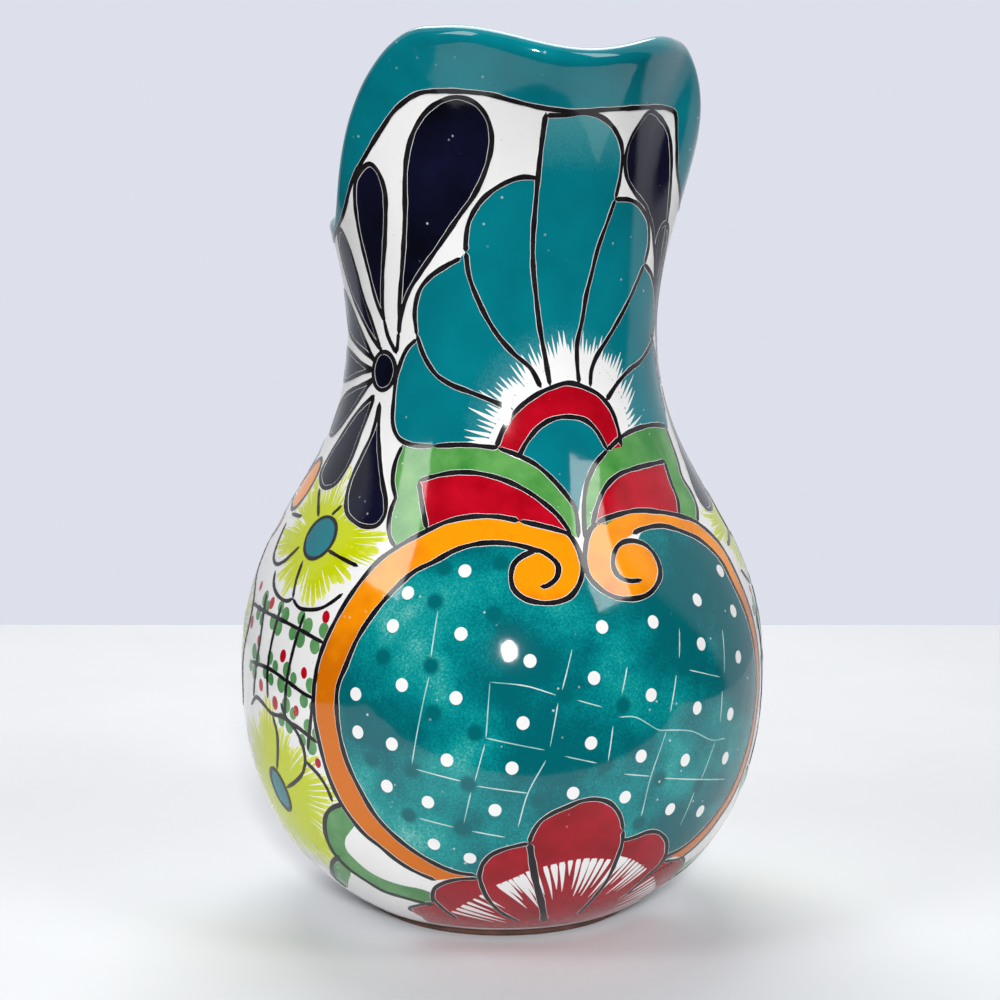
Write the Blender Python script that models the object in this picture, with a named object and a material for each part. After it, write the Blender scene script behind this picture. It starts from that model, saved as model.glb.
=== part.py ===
"""A hand-painted earthenware pitcher, in metres, +Z up, standing on the plane Z = 0.

The pear body is thrown, the neck with its raised, wavy spout is luted on above it, and a pulled strap
handle is fixed behind with a pad of clay at each end. The spout faces -Y and the handle +Y.
"""

import math

import bmesh
import bpy
import numpy as np

# Foot and pear body
FOOT_RADIUS = 0.0378
FOOT_HEIGHT = 0.0027
FOOT_CHAMFER = 0.0008
BASE_RADIUS = 0.041
BELLY_RADIUS = 0.0751
BELLY_HEIGHT = 0.0696
SHOULDER_RISE = 0.097
WALL = 0.006
FLOOR = 0.007

# Neck, rim and spout: rises are measured from the neck's narrowest ring
NECK_RADIUS = 0.0438
LIP_FLARE = 0.0127
FLARE_RISE = 0.0636
SIDE_RISE = 0.0312
LOBE_RISE = 0.0791
SPOUT_RISE = 0.0734
LOBE_ANGLE = math.radians(34)
SPOUT_PULL = 0.0108
SPOUT_HALF_ANGLE = math.radians(50)
DROP_START = math.radians(40.5)
DROP_END = math.radians(94)
LOBE_LEAN = 0.0017
LATE_FLARE = 2.5
LATE_START = math.radians(35)
LATE_END = math.radians(75)

# Strap handle: its upper seat hangs from the low rim, its lower one stands on the belly's widest ring
UPPER_SEAT_DROP = 0.0155
LOWER_SEAT_RISE = 0.032
UPPER_SEAT_TILT = math.radians(20)
LOWER_SEAT_TILT = math.radians(18)
UPPER_REACH = 0.060
LOWER_REACH = 0.046
STRAP_TOP_WIDTH = 0.026
STRAP_TOP_DEPTH = 0.0125
STRAP_END_WIDTH = 0.021
STRAP_END_DEPTH = 0.011
PAD_DEPTH = 0.0075
PAD_SPREAD = 1.5

# Fullness of the turned curve: lengths of its handles as shares of the span each one lies along
BASE_FLARE = 0.62
BASE_LIFT = 0.185
BELLY_UNDER = 0.535
BELLY_OVER = 0.476
NECK_UNDER = 0.454

# What touches keeps this gap
SEAT_GAP = 0.0003

# How finely curves are cut into facets
TURN_STEPS = 72
UNDER_STEPS = 9
SHOULDER_STEPS = 12
NECK_STEPS = 9
LIP_STEPS = 6
STRAP_SIDES = 20
STRAP_STEPS = 24
PAD_STEPS = 6

BASE_Z = FOOT_HEIGHT + SEAT_GAP
FLOOR_Z = BASE_Z + FLOOR
NECK_Z = BELLY_HEIGHT + SHOULDER_RISE
UPPER_SEAT_Z = NECK_Z + SIDE_RISE - UPPER_SEAT_DROP
LOWER_SEAT_Z = BELLY_HEIGHT + LOWER_SEAT_RISE
STRAP_TOP = np.array([STRAP_TOP_WIDTH, STRAP_TOP_DEPTH])
STRAP_END = np.array([STRAP_END_WIDTH, STRAP_END_DEPTH])
BACK = math.pi


def smoothstep(x):
    """0 below 0, 1 above 1, and an S between."""
    x = np.clip(x, 0, 1)
    return x * x * (3 - 2 * x)


def bezier(points, t):
    """Points of a cubic curve, one row for each value of t."""
    a, b, c, d = (np.asarray(p, float) for p in points)
    t = np.asarray(t, float)[:, None]
    return (1 - t) ** 3 * a + 3 * (1 - t) ** 2 * t * b + 3 * (1 - t) * t * t * c + t ** 3 * d


def pear_profile(low_steps, high_steps):
    """Radius and height up the outside of the body, from the edge of the base to the neck."""
    base = (BASE_RADIUS, BASE_Z)
    belly = (BELLY_RADIUS, BELLY_HEIGHT)
    neck = (NECK_RADIUS, NECK_Z)
    under = BELLY_HEIGHT - BASE_Z
    spread = BELLY_RADIUS - BASE_RADIUS
    low = (
        base,
        (BASE_RADIUS + BASE_FLARE * spread, BASE_Z + BASE_LIFT * under),
        (BELLY_RADIUS, BELLY_HEIGHT - BELLY_UNDER * under),
        belly,
    )
    high = (
        belly,
        (BELLY_RADIUS, BELLY_HEIGHT + BELLY_OVER * SHOULDER_RISE),
        (NECK_RADIUS, NECK_Z - NECK_UNDER * SHOULDER_RISE),
        neck,
    )
    lower = bezier(low, np.linspace(0, 1, low_steps + 1))
    upper = bezier(high, np.linspace(0, 1, high_steps + 1))
    return np.vstack([lower[:-1], upper])


def profile_normals(profile):
    """Unit normals of a radius and height curve that climbs, pointing away from the axis."""
    tangent = np.gradient(profile, axis=0)
    normal = np.stack([tangent[:, 1], -tangent[:, 0]], axis=1)
    return normal / np.linalg.norm(normal, axis=1, keepdims=True)


def rim_height(angle):
    """Height of the rim: low round the back and sides, two lobes in front, a dip to pour over."""
    turn = np.abs(angle)
    raised = smoothstep((DROP_END - turn) / (DROP_END - DROP_START))
    dip = np.where(turn < LOBE_ANGLE, (1 + np.cos(math.pi * turn / LOBE_ANGLE)) / 2, 0)
    rise = SIDE_RISE + (LOBE_RISE - SIDE_RISE) * raised - (LOBE_RISE - SPOUT_RISE) * dip
    return NECK_Z + rise - LOBE_LEAN * np.sin(angle) * raised


def flare(angle, rise):
    """How far the wall leans out at a rise above the neck, pulled forward where the spout is."""
    share = np.clip(angle / SPOUT_HALF_ANGLE, -1, 1)
    pull = np.cos(math.pi / 2 * share) ** 2 * (rise / SPOUT_RISE) ** 2
    return LIP_FLARE * smoothstep(rise / FLARE_RISE) + SPOUT_PULL * pull


def neck_radius(angle, height):
    """Outer radius above the neck: it leans out evenly behind, and late, close under the rim, in front."""
    rise = np.maximum(height - NECK_Z, 0)
    top = rim_height(angle) - NECK_Z
    late = flare(angle, top) * (rise / top) ** LATE_FLARE
    front = smoothstep((LATE_END - np.abs(angle)) / (LATE_END - LATE_START))
    return NECK_RADIUS + front * late + (1 - front) * flare(angle, rise)


def around(radius, angle, height):
    """Points at a radius and height, with angle 0 at -Y and growing towards +X."""
    radius, angle, height = np.broadcast_arrays(radius, angle, height)
    return np.stack([radius * np.sin(angle), -radius * np.cos(angle), height], axis=-1)


def unit(vectors):
    return vectors / np.linalg.norm(vectors, axis=-1, keepdims=True)


def neck_point(angle, height):
    """Points and outward normals of the neck's outer wall."""
    step = 1e-5
    here = around(neck_radius(angle, height), angle, height)
    along = around(neck_radius(angle + step, height), angle + step, height) - here
    up = around(neck_radius(angle, height + step), angle, height + step) - here
    return here, unit(np.cross(along, up))


def back_wall(height):
    """Radius and unit normal (outwards, upwards) of the wall in the plane of the handle."""
    profile = pear_profile(200, 400)
    rise = np.linspace(NECK_Z, NECK_Z + SIDE_RISE, 200)[1:]
    profile = np.vstack([profile, np.stack([neck_radius(BACK, rise), rise], axis=1)])
    normals = profile_normals(profile)
    radius = np.interp(height, profile[:, 1], profile[:, 0])
    outwards = np.interp(height, profile[:, 1], normals[:, 0])
    upwards = np.interp(height, profile[:, 1], normals[:, 1])
    return radius, outwards, upwards


def material(name, colour, roughness):
    mat = bpy.data.materials.new(name)
    mat.use_nodes = True
    shader = mat.node_tree.nodes["Principled BSDF"]
    shader.inputs["Base Color"].default_value = (*colour, 1)
    shader.inputs["Roughness"].default_value = roughness
    shader.inputs["Metallic"].default_value = 0
    return mat


def add_object(name, mesh, mat, parent):
    obj = bpy.data.objects.new(name, mesh)
    bpy.context.scene.collection.objects.link(obj)
    obj.parent = parent
    mesh.materials.append(mat)
    return obj


def turned(name, profile, mat, parent):
    """A solid turned about Z from a profile that runs down its outer side and back up to the axis."""
    mesh = bpy.data.meshes.new(name)
    points = [(radius, 0, height) for radius, height in profile]
    edges = [(i, i + 1) for i in range(len(points) - 1)]
    mesh.from_pydata(points, edges, [])
    obj = add_object(name, mesh, mat, parent)
    screw = obj.modifiers.new("Turn", "SCREW")
    screw.steps = screw.render_steps = TURN_STEPS
    screw.use_merge_vertices = True
    screw.merge_threshold = 1e-6
    screw.use_smooth_shade = True
    return obj


def lofted(name, rings, mat, parent, ring_shaped=False):
    """A skin carried through closed rings of points, capped at both ends or joined into a ring."""
    bm = bmesh.new()
    loops = []
    for ring in rings:
        verts = [bm.verts.new(point) for point in ring]
        loops.append([bm.edges.new((a, b)) for a, b in zip(verts, verts[1:] + verts[:1])])
    pairs = list(zip(loops, loops[1:]))
    if ring_shaped:
        pairs.append((loops[-1], loops[0]))
    else:
        bmesh.ops.contextual_create(bm, geom=loops[0])
        bmesh.ops.contextual_create(bm, geom=loops[-1])
    for first, second in pairs:
        bmesh.ops.bridge_loops(bm, edges=first + second)
    bmesh.ops.recalc_face_normals(bm, faces=bm.faces)
    mesh = bpy.data.meshes.new(name)
    bm.to_mesh(mesh)
    bm.free()
    mesh.shade_smooth()
    mesh.set_sharp_from_angle(angle=math.radians(50))
    return add_object(name, mesh, mat, parent)


def make_foot(mat, parent):
    """The flat disc of bare clay that the pitcher stands on."""
    profile = [
        (0, FOOT_HEIGHT),
        (FOOT_RADIUS, FOOT_HEIGHT),
        (FOOT_RADIUS, FOOT_CHAMFER),
        (FOOT_RADIUS - FOOT_CHAMFER, 0),
        (0, 0),
    ]
    turned("foot", profile, mat, parent)


def make_belly(mat, parent):
    """The thrown pear body: an even wall that follows the outside, and runs into a flat floor."""
    outside = pear_profile(UNDER_STEPS, SHOULDER_STEPS)
    inside = outside - WALL * profile_normals(outside)
    inside[-1] = (NECK_RADIUS - WALL, NECK_Z)
    inside = inside[inside[:, 1] > FLOOR_Z + WALL]
    hollow = bezier(
        ((inside[0, 0] - 2 * WALL, FLOOR_Z), (inside[0, 0] - WALL, FLOOR_Z), inside[0], inside[0]),
        np.linspace(0, 1, 4),
    )
    floor = [(0, FLOOR_Z)]
    underside = [(0, BASE_Z)]
    turned("belly", np.vstack([floor, hollow[:-1], inside, outside[::-1], underside]), mat, parent)


def make_neck(mat, parent):
    """The neck and spout: a flared wall that ends under the wavy rim in a rounded lip."""
    angle = np.linspace(-math.pi, math.pi, TURN_STEPS, endpoint=False)
    start = NECK_Z + SEAT_GAP
    end = rim_height(angle) - WALL / 2
    outer, inner = [], []
    for share in np.linspace(0, 1, NECK_STEPS + 1):
        point, normal = neck_point(angle, start + share * (end - start))
        outer.append(point)
        inner.append(point - WALL * normal)
    middle = (outer[-1] + inner[-1]) / 2
    across = (outer[-1] - inner[-1]) / 2
    along = np.roll(middle, -1, axis=0) - np.roll(middle, 1, axis=0)
    up = WALL / 2 * unit(np.cross(across, along))
    bow = np.linspace(0, math.pi, LIP_STEPS + 1)[1:-1]
    lip = [middle + math.cos(turn) * across + math.sin(turn) * up for turn in bow]
    lofted("neck", outer + lip + inner[::-1], mat, parent, ring_shaped=True)


def strap_section(size):
    """Offsets across and through the strap, round a soft-cornered oblong of that width and depth."""
    turn = np.linspace(0, 2 * math.pi, STRAP_SIDES, endpoint=False)
    corner = 0.75
    across = np.sign(np.cos(turn)) * np.abs(np.cos(turn)) ** corner
    through = np.sign(np.sin(turn)) * np.abs(np.sin(turn)) ** corner
    return np.stack([across, through], axis=1) * size / 2


def seat(height, tilt):
    """Where a handle end meets the wall, and the way that it leaves it in the YZ plane."""
    radius, outwards, upwards = back_wall(height)
    lean = math.atan2(upwards, outwards) + tilt
    way = np.array([0, math.cos(lean), math.sin(lean)])
    return np.array([0, radius, height]), way


def strap_ring(centre, way, size):
    """The strap's section, square to the way it runs, with its width along X."""
    section = strap_section(size)
    side = np.array([1.0, 0, 0])
    face = np.cross(side, way)
    return centre + section[:, :1] * side + section[:, 1:] * face


def handle_path():
    """Points and directions of the strap's centre line, from the neck over to the shoulder."""
    top, top_way = seat(UPPER_SEAT_Z, UPPER_SEAT_TILT)
    end, end_way = seat(LOWER_SEAT_Z, LOWER_SEAT_TILT)
    top = top + PAD_DEPTH * top_way
    end = end + PAD_DEPTH * end_way
    t = np.linspace(0, 1, STRAP_STEPS + 1)
    line = bezier((top, top + UPPER_REACH * top_way, end + LOWER_REACH * end_way, end), t)
    ways = unit(np.gradient(line, axis=0))
    ways[0], ways[-1] = top_way, -end_way
    return line, ways


def make_handle(mat, parent):
    """The pulled strap, wider at the neck than at the shoulder."""
    line, ways = handle_path()
    share = np.linspace(0, 1, len(line))[:, None]
    sizes = STRAP_TOP * (1 - share) + STRAP_END * share
    rings = [strap_ring(*parts) for parts in zip(line, ways, sizes)]
    lofted("handle", rings, mat, parent)


def wall_ring(height, size):
    """A strap-shaped ring that lies on the outer wall, clear of it by the seat's gap."""
    section = strap_section(size)
    _, outwards, _ = back_wall(height)
    level = height + section[:, 1] * outwards
    radius, out, up = back_wall(level)
    angle = BACK - section[:, 0] / radius
    return around(radius + SEAT_GAP * out, angle, level + SEAT_GAP * up)


def make_pad(name, height, way, end, size, mat, parent):
    """The clay that lutes a handle end to the wall: it spreads from the strap out over the wall."""
    strap = strap_ring(end - SEAT_GAP * way, way, size)
    wide = size * PAD_SPREAD
    foot = wall_ring(height, wide)
    spread = foot - strap
    sideways = spread - (spread @ way)[:, None] * way
    rings = [wall_ring(height, wide * share) for share in np.linspace(0.1, 1, PAD_STEPS + 1)[:-1]]
    for share in np.linspace(0, 1, PAD_STEPS + 1):
        rings.append(foot - share * spread - share * (1 - share) * sideways)
    lofted(name, rings, mat, parent)


def make_pads(mat, parent):
    line, ways = handle_path()
    make_pad("upper_handle_pad", UPPER_SEAT_Z, ways[0], line[0], STRAP_TOP, mat, parent)
    make_pad("lower_handle_pad", LOWER_SEAT_Z, -ways[-1], line[-1], STRAP_END, mat, parent)


def build():
    for obj in list(bpy.data.objects):
        bpy.data.objects.remove(obj, do_unlink=True)
    pitcher = bpy.data.objects.new("pitcher", None)
    bpy.context.scene.collection.objects.link(pitcher)
    bare_clay = material("bare_clay", (0.42, 0.22, 0.14), 0.85)
    white_glaze = material("white_glaze", (0.86, 0.84, 0.80), 0.12)
    teal_glaze = material("teal_glaze", (0.0, 0.19, 0.22), 0.12)
    make_foot(bare_clay, pitcher)
    make_belly(white_glaze, pitcher)
    make_neck(white_glaze, pitcher)
    make_handle(teal_glaze, pitcher)
    make_pads(teal_glaze, pitcher)


build()
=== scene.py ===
"""The looks of a hand-painted earthenware pitcher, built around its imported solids, in metres, +Z up.

The sections follow the making: the view, the thrown and luted clay under its white glaze, the handle, the
foot, then the painter's work from the rim downwards, and last the table and the light.
"""

import math
import bpy
import numpy as np
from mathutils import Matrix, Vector


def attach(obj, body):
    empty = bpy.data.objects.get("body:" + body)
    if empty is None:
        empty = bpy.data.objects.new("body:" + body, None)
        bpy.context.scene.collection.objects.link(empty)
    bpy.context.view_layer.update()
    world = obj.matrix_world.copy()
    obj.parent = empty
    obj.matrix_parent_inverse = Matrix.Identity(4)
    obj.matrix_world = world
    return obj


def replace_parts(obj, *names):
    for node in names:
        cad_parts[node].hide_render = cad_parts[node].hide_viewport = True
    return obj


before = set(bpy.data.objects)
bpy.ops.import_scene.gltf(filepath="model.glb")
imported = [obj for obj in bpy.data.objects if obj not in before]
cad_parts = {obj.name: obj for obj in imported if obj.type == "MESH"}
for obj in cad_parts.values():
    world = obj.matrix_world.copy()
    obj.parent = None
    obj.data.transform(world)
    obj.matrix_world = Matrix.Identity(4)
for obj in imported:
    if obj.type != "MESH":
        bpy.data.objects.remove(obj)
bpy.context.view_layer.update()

# View
# The pitcher was seen from about the height of its neck, a long step away, with its front turned to the
# right of the line of sight. The painter's outlines below are given in pixels of that square picture.
IMAGE_PX = 1000
FOCAL_PX = 2300
HORIZON_PX = 175
AXIS_PX = 502
VIEW_TURN = math.radians(19)
VIEW_DISTANCE = 0.6544
VIEW_HEIGHT = 0.2098
SENSOR_MM = 36

VIEW_TILT = math.atan((IMAGE_PX / 2 - HORIZON_PX) / FOCAL_PX)
VIEW_HEADING = math.atan((AXIS_PX - IMAGE_PX / 2) / FOCAL_PX) - VIEW_TURN
EYE = np.array([-VIEW_DISTANCE * math.sin(VIEW_TURN), -VIEW_DISTANCE * math.cos(VIEW_TURN), VIEW_HEIGHT])

camera = bpy.data.objects.new("camera", bpy.data.cameras.new("camera"))
camera.data.sensor_width = SENSOR_MM
camera.data.lens = FOCAL_PX * SENSOR_MM / IMAGE_PX
camera.location = EYE
camera.rotation_euler = (math.pi / 2 - VIEW_TILT, 0, VIEW_HEADING)
bpy.context.scene.collection.objects.link(camera)
bpy.context.scene.camera = camera


def sight_lines(pixels):
    """Directions from the eye through picture pixels: ahead, plus the share of right and up of each."""
    right = np.array([math.cos(VIEW_HEADING), math.sin(VIEW_HEADING), 0])
    ahead = np.array([
        -math.sin(VIEW_HEADING) * math.cos(VIEW_TILT),
        math.cos(VIEW_HEADING) * math.cos(VIEW_TILT),
        -math.sin(VIEW_TILT),
    ])
    up = np.cross(right, ahead)
    share = (np.asarray(pixels, float) - IMAGE_PX / 2) / FOCAL_PX
    return ahead + share[:, :1] * right - share[:, 1:] * up


# Wall
# The thrown pear body and the flared neck with its raised spout are one fired wall of red clay under a
# thick white tin glaze. The glaze runs over the lip and down the inside, and hides where the two were luted.
FOOT_HEIGHT = 0.0027
BASE_RADIUS = 0.041
BELLY_RADIUS = 0.0751
BELLY_HEIGHT = 0.0696
SHOULDER_RISE = 0.097
WALL = 0.006
FLOOR = 0.007
NECK_RADIUS = 0.0438
LIP_FLARE = 0.0127
FLARE_RISE = 0.0685
SIDE_RISE = 0.0312
LOBE_RISE = 0.0791
SPOUT_RISE = 0.0734
LOBE_ANGLE = math.radians(34)
SPOUT_PULL = 0.0108
SPOUT_HALF_ANGLE = math.radians(50)
DROP_START = math.radians(40.5)
DROP_END = math.radians(94)
LOBE_LEAN = 0.0017
LATE_FLARE = 2.5
LATE_START = math.radians(35)
LATE_END = math.radians(75)
BASE_FLARE = 0.62
BASE_LIFT = 0.185
BELLY_UNDER = 0.535
BELLY_OVER = 0.476
NECK_UNDER = 0.454
SHOULDER_FLAT = 0.002
FLAT_Z = 0.113
FLAT_SPAN = 0.038
FLAT_START = math.radians(15)
FLAT_END = math.radians(65)
SEAT_GAP = 0.0003
BASE_Z = FOOT_HEIGHT + SEAT_GAP
FLOOR_Z = BASE_Z + FLOOR
NECK_Z = BELLY_HEIGHT + SHOULDER_RISE
PEAR_STEPS = (600, 900)
NORMAL_STEP = 2e-5
LEAST_LENGTH = 1e-12


def smoothstep(x):
    """0 below 0, 1 above 1, and an S between: 3 x squared less 2 x cubed."""
    x = np.clip(x, 0, 1)
    return x * x * (3 - 2 * x)


def bezier(points, t):
    """A cubic curve: its four points weighted by the cubes and products of t and 1 - t."""
    a, b, c, d = (np.asarray(p, float) for p in points)
    t = np.asarray(t, float)[:, None]
    return (1 - t) ** 3 * a + 3 * (1 - t) ** 2 * t * b + 3 * (1 - t) * t * t * c + t ** 3 * d


def pear_profile(low_steps, high_steps):
    """Radius and height up the outside: one cubic from base to belly, one with upright ends to the neck."""
    under = BELLY_HEIGHT - BASE_Z
    spread = BELLY_RADIUS - BASE_RADIUS
    low = (
        (BASE_RADIUS, BASE_Z),
        (BASE_RADIUS + BASE_FLARE * spread, BASE_Z + BASE_LIFT * under),
        (BELLY_RADIUS, BELLY_HEIGHT - BELLY_UNDER * under),
        (BELLY_RADIUS, BELLY_HEIGHT),
    )
    high = (
        (BELLY_RADIUS, BELLY_HEIGHT),
        (BELLY_RADIUS, BELLY_HEIGHT + BELLY_OVER * SHOULDER_RISE),
        (NECK_RADIUS, NECK_Z - NECK_UNDER * SHOULDER_RISE),
        (NECK_RADIUS, NECK_Z),
    )
    lower = bezier(low, np.linspace(0, 1, low_steps + 1))
    return np.vstack([lower[:-1], bezier(high, np.linspace(0, 1, high_steps + 1))])


PEAR = pear_profile(*PEAR_STEPS)


def rim_height(angle):
    """Height of the rim: low behind, raised in front by an S, with a cosine dip between two lobes."""
    turn = np.abs(angle)
    raised = smoothstep((DROP_END - turn) / (DROP_END - DROP_START))
    dip = np.where(turn < LOBE_ANGLE, (1 + np.cos(math.pi * turn / LOBE_ANGLE)) / 2, 0)
    rise = SIDE_RISE + (LOBE_RISE - SIDE_RISE) * raised - (LOBE_RISE - SPOUT_RISE) * dip
    return NECK_Z + rise - LOBE_LEAN * np.sin(angle) * raised


def flare(angle, rise):
    """Lean of the wall at a rise above the neck: an S, and at the spout a squared cosine by rise squared."""
    share = np.clip(angle / SPOUT_HALF_ANGLE, -1, 1)
    pull = np.cos(math.pi / 2 * share) ** 2 * (rise / SPOUT_RISE) ** 2
    return LIP_FLARE * smoothstep(rise / FLARE_RISE) + SPOUT_PULL * pull


def shoulder_flat(angle, height):
    """How far the front of the shoulder is patted in: a cosine swell up the wall, times an S round it."""
    up = np.clip((height - FLAT_Z) / FLAT_SPAN, -1, 1)
    round_it = smoothstep((FLAT_END - np.abs(angle)) / (FLAT_END - FLAT_START))
    return SHOULDER_FLAT * (1 + np.cos(math.pi * up)) / 2 * round_it


def wall_radius(angle, height):
    """Outer radius. Below the neck it is the pear, patted in at the front of the shoulder. Above, it is the
    flare, which in front is kept for the rim by a power of the share of the way up."""
    rise = np.maximum(height - NECK_Z, 0)
    top = rim_height(angle) - NECK_Z
    late = flare(angle, top) * (rise / top) ** LATE_FLARE
    front = smoothstep((LATE_END - np.abs(angle)) / (LATE_END - LATE_START))
    neck = NECK_RADIUS + front * late + (1 - front) * flare(angle, rise)
    pear = np.interp(height, PEAR[:, 1], PEAR[:, 0]) - shoulder_flat(angle, height)
    return np.where(height < NECK_Z, pear, neck)


def around(radius, angle, height):
    """Points at a radius and height, with angle 0 at the spout and growing to the pitcher's left hand."""
    radius, angle, height = np.broadcast_arrays(radius, angle, height)
    return np.stack([radius * np.sin(angle), -radius * np.cos(angle), height], axis=-1)


def unit(vectors):
    """Vectors divided by their own length."""
    return vectors / np.maximum(np.linalg.norm(vectors, axis=-1, keepdims=True), LEAST_LENGTH)


def on_wall(angle, height):
    """Points of the outer wall and their normals, the cross product of short steps round and up it."""
    here = around(wall_radius(angle, height), angle, height)
    turned, raised = angle + NORMAL_STEP, height + NORMAL_STEP
    along = around(wall_radius(turned, height), turned, height) - here
    up = around(wall_radius(angle, raised), angle, raised) - here
    return here, unit(np.cross(along, up))


def ring_faces(rows, cols, joined_rows=False):
    """Quads of a grid whose columns go right round, and whose last row can join its first."""
    row = np.arange(rows if joined_rows else rows - 1)[:, None]
    col = np.arange(cols)[None]
    after, beside = (row + 1) % rows, (col + 1) % cols
    quads = np.stack([row * cols + col, row * cols + beside, after * cols + beside, after * cols + col], -1)
    return quads.reshape(-1, 4)


def fan_faces(ring, centre):
    """Triangles from each side of a ring of point numbers to one centre point."""
    return np.stack([ring, np.roll(ring, -1), np.full(len(ring), centre)], axis=1)


def add_piece(name, points, faces, finish, normals=None, paint=None):
    """A mesh object that rides on the pitcher. Its paint, if given, is a UV place for each point."""
    mesh = bpy.data.meshes.new(name)
    mesh.from_pydata(points.tolist(), [], [face for group in faces for face in group.tolist()])
    mesh.shade_smooth()
    if paint is not None:
        corner = np.empty(len(mesh.loops), np.int32)
        mesh.loops.foreach_get("vertex_index", corner)
        mesh.uv_layers.new(name="Paint").data.foreach_set("uv", paint[corner].ravel())
    if normals is not None:
        mesh.normals_split_custom_set_from_vertices(normals.tolist())
    mesh.materials.append(finish)
    piece = bpy.data.objects.new(name, mesh)
    bpy.context.scene.collection.objects.link(piece)
    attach(piece, "root")
    return piece


WHITE_CLOUD_SCALE = 38
WHITE_CLOUDS = [(0.3, (0.87, 0.86, 0.85)), (0.7, (0.925, 0.92, 0.915))]
PINHOLE_SCALE = 300
PINHOLES = [(0.03, (0.6, 0.57, 0.53)), (0.07, (1, 1, 1))]
GLAZE_ROUGHNESS = 0.07
GLAZE_IOR = 1.5
RIPPLE_SCALE = 160
RIPPLE_STRENGTH = 0.04
RIPPLE_DEPTH = 0.001


def node(tree, kind, inputs=None, **settings):
    """Adds a node, sets its properties, and fills inputs from values or from other nodes' sockets."""
    made = tree.nodes.new(kind)
    for key, value in settings.items():
        setattr(made, key, value)
    for key, value in (inputs or {}).items():
        if isinstance(value, bpy.types.NodeSocket):
            tree.links.new(value, made.inputs[key])
        else:
            made.inputs[key].default_value = value
    return made


def new_finish(name):
    """A node material, its tree, its Principled shader, and the place in metres that its textures follow."""
    finish = bpy.data.materials.new(name)
    finish.use_nodes = True
    tree = finish.node_tree
    place = node(tree, "ShaderNodeTexCoord").outputs["Object"]
    return finish, tree, tree.nodes["Principled BSDF"], place


def ramp(tree, factor, stops):
    """A colour ramp through (place, colour) stops."""
    made = node(tree, "ShaderNodeValToRGB", {"Fac": factor})
    points = made.color_ramp.elements
    while len(points) < len(stops):
        points.new(1)
    for point, (place, colour) in zip(points, stops):
        point.position = place
        point.color = (*colour, 1)
    return made.outputs["Color"]


def noise(tree, place, scale, detail=2, roughness=0.5):
    """Clouds from 0 to 1, about so many to the metre, with finer ones added by the detail and roughness."""
    inputs = {"Vector": place, "Scale": scale, "Detail": detail, "Roughness": roughness}
    return node(tree, "ShaderNodeTexNoise", inputs).outputs["Fac"]


def cells(tree, place, scale):
    """Distance to the nearest of scattered points, about so many to the metre."""
    return node(tree, "ShaderNodeTexVoronoi", {"Vector": place, "Scale": scale}).outputs["Distance"]


def mix(tree, share, under, over, blend="MIX"):
    """A share of one colour laid over another, or multiplied into it."""
    inputs = {"Fac": share, "Color1": under, "Color2": over}
    return node(tree, "ShaderNodeMixRGB", inputs, blend_type=blend).outputs["Color"]


def roughen(tree, shader, height, strength, depth):
    """Joins to the shader a bump of a strength and of a depth in metres."""
    bump = node(tree, "ShaderNodeBump", {"Height": height, "Strength": strength, "Distance": depth})
    tree.links.new(bump.outputs["Normal"], shader.inputs["Normal"])


def glaze_gloss(tree, shader, place, colour):
    """A colour in the wet gloss of a fired glaze: a low roughness, and a faint ripple where it flowed."""
    tree.links.new(colour, shader.inputs["Base Color"])
    shader.inputs["Roughness"].default_value = GLAZE_ROUGHNESS
    shader.inputs["IOR"].default_value = GLAZE_IOR
    roughen(tree, shader, noise(tree, place, RIPPLE_SCALE), RIPPLE_STRENGTH, RIPPLE_DEPTH)


def make_white_glaze():
    """White tin glaze: faint warm clouds, with fine pale brown pinholes."""
    finish, tree, shader, place = new_finish("white_tin_glaze")
    ground = ramp(tree, noise(tree, place, WHITE_CLOUD_SCALE, detail=4), WHITE_CLOUDS)
    hole = ramp(tree, cells(tree, place, PINHOLE_SCALE), PINHOLES)
    glaze_gloss(tree, shader, place, mix(tree, 1.0, ground, hole, "MULTIPLY"))
    return finish


TURN_STEPS = 320
OUTSIDE_STEPS = 90
NECK_STEPS = 46
LIP_STEPS = 10
HOLLOW_STEPS = 8
BASE_INSET = WALL / 10
TURN = np.linspace(-math.pi, math.pi, TURN_STEPS, endpoint=False)


def lip_rings(lift=0.0):
    """Rings over the rim: half circles, square to the way the rim runs, from the outer wall to the inner."""
    edge, normal = on_wall(TURN, rim_height(TURN) - WALL / 2)
    middle = edge - WALL / 2 * normal
    along = np.roll(middle, -1, axis=0) - np.roll(middle, 1, axis=0)
    up = unit(np.cross(normal, along))
    bow = np.linspace(0, math.pi, LIP_STEPS + 1)[1:-1, None, None]
    return middle + (WALL / 2 + lift) * (np.cos(bow) * normal + np.sin(bow) * up)


def neck_rings(shares, depth=0.0):
    """Rings up the neck at shares of its height under the rim, at a depth below the outer surface."""
    top = rim_height(TURN) - WALL / 2
    height = NECK_Z + np.asarray(shares)[:, None] * (top - NECK_Z)
    point, normal = on_wall(np.broadcast_to(TURN, height.shape), height)
    return point - depth * normal


def turned_rings(profile):
    """Rings of a radius and height profile turned about Z."""
    return around(profile[:, :1], TURN, profile[:, 1:])


def capped(rings, low, high):
    """Points and faces of rings, one above another, closed by a fan to a point at each end."""
    rows, cols = rings.shape[:2]
    points = np.vstack([rings.reshape(-1, 3), [low, high]])
    first, last = np.arange(cols), np.arange(cols) + (rows - 1) * cols
    ends = [fan_faces(first[::-1], rows * cols), fan_faces(last, rows * cols + 1)]
    return points, [ring_faces(rows, cols)] + ends


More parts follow.
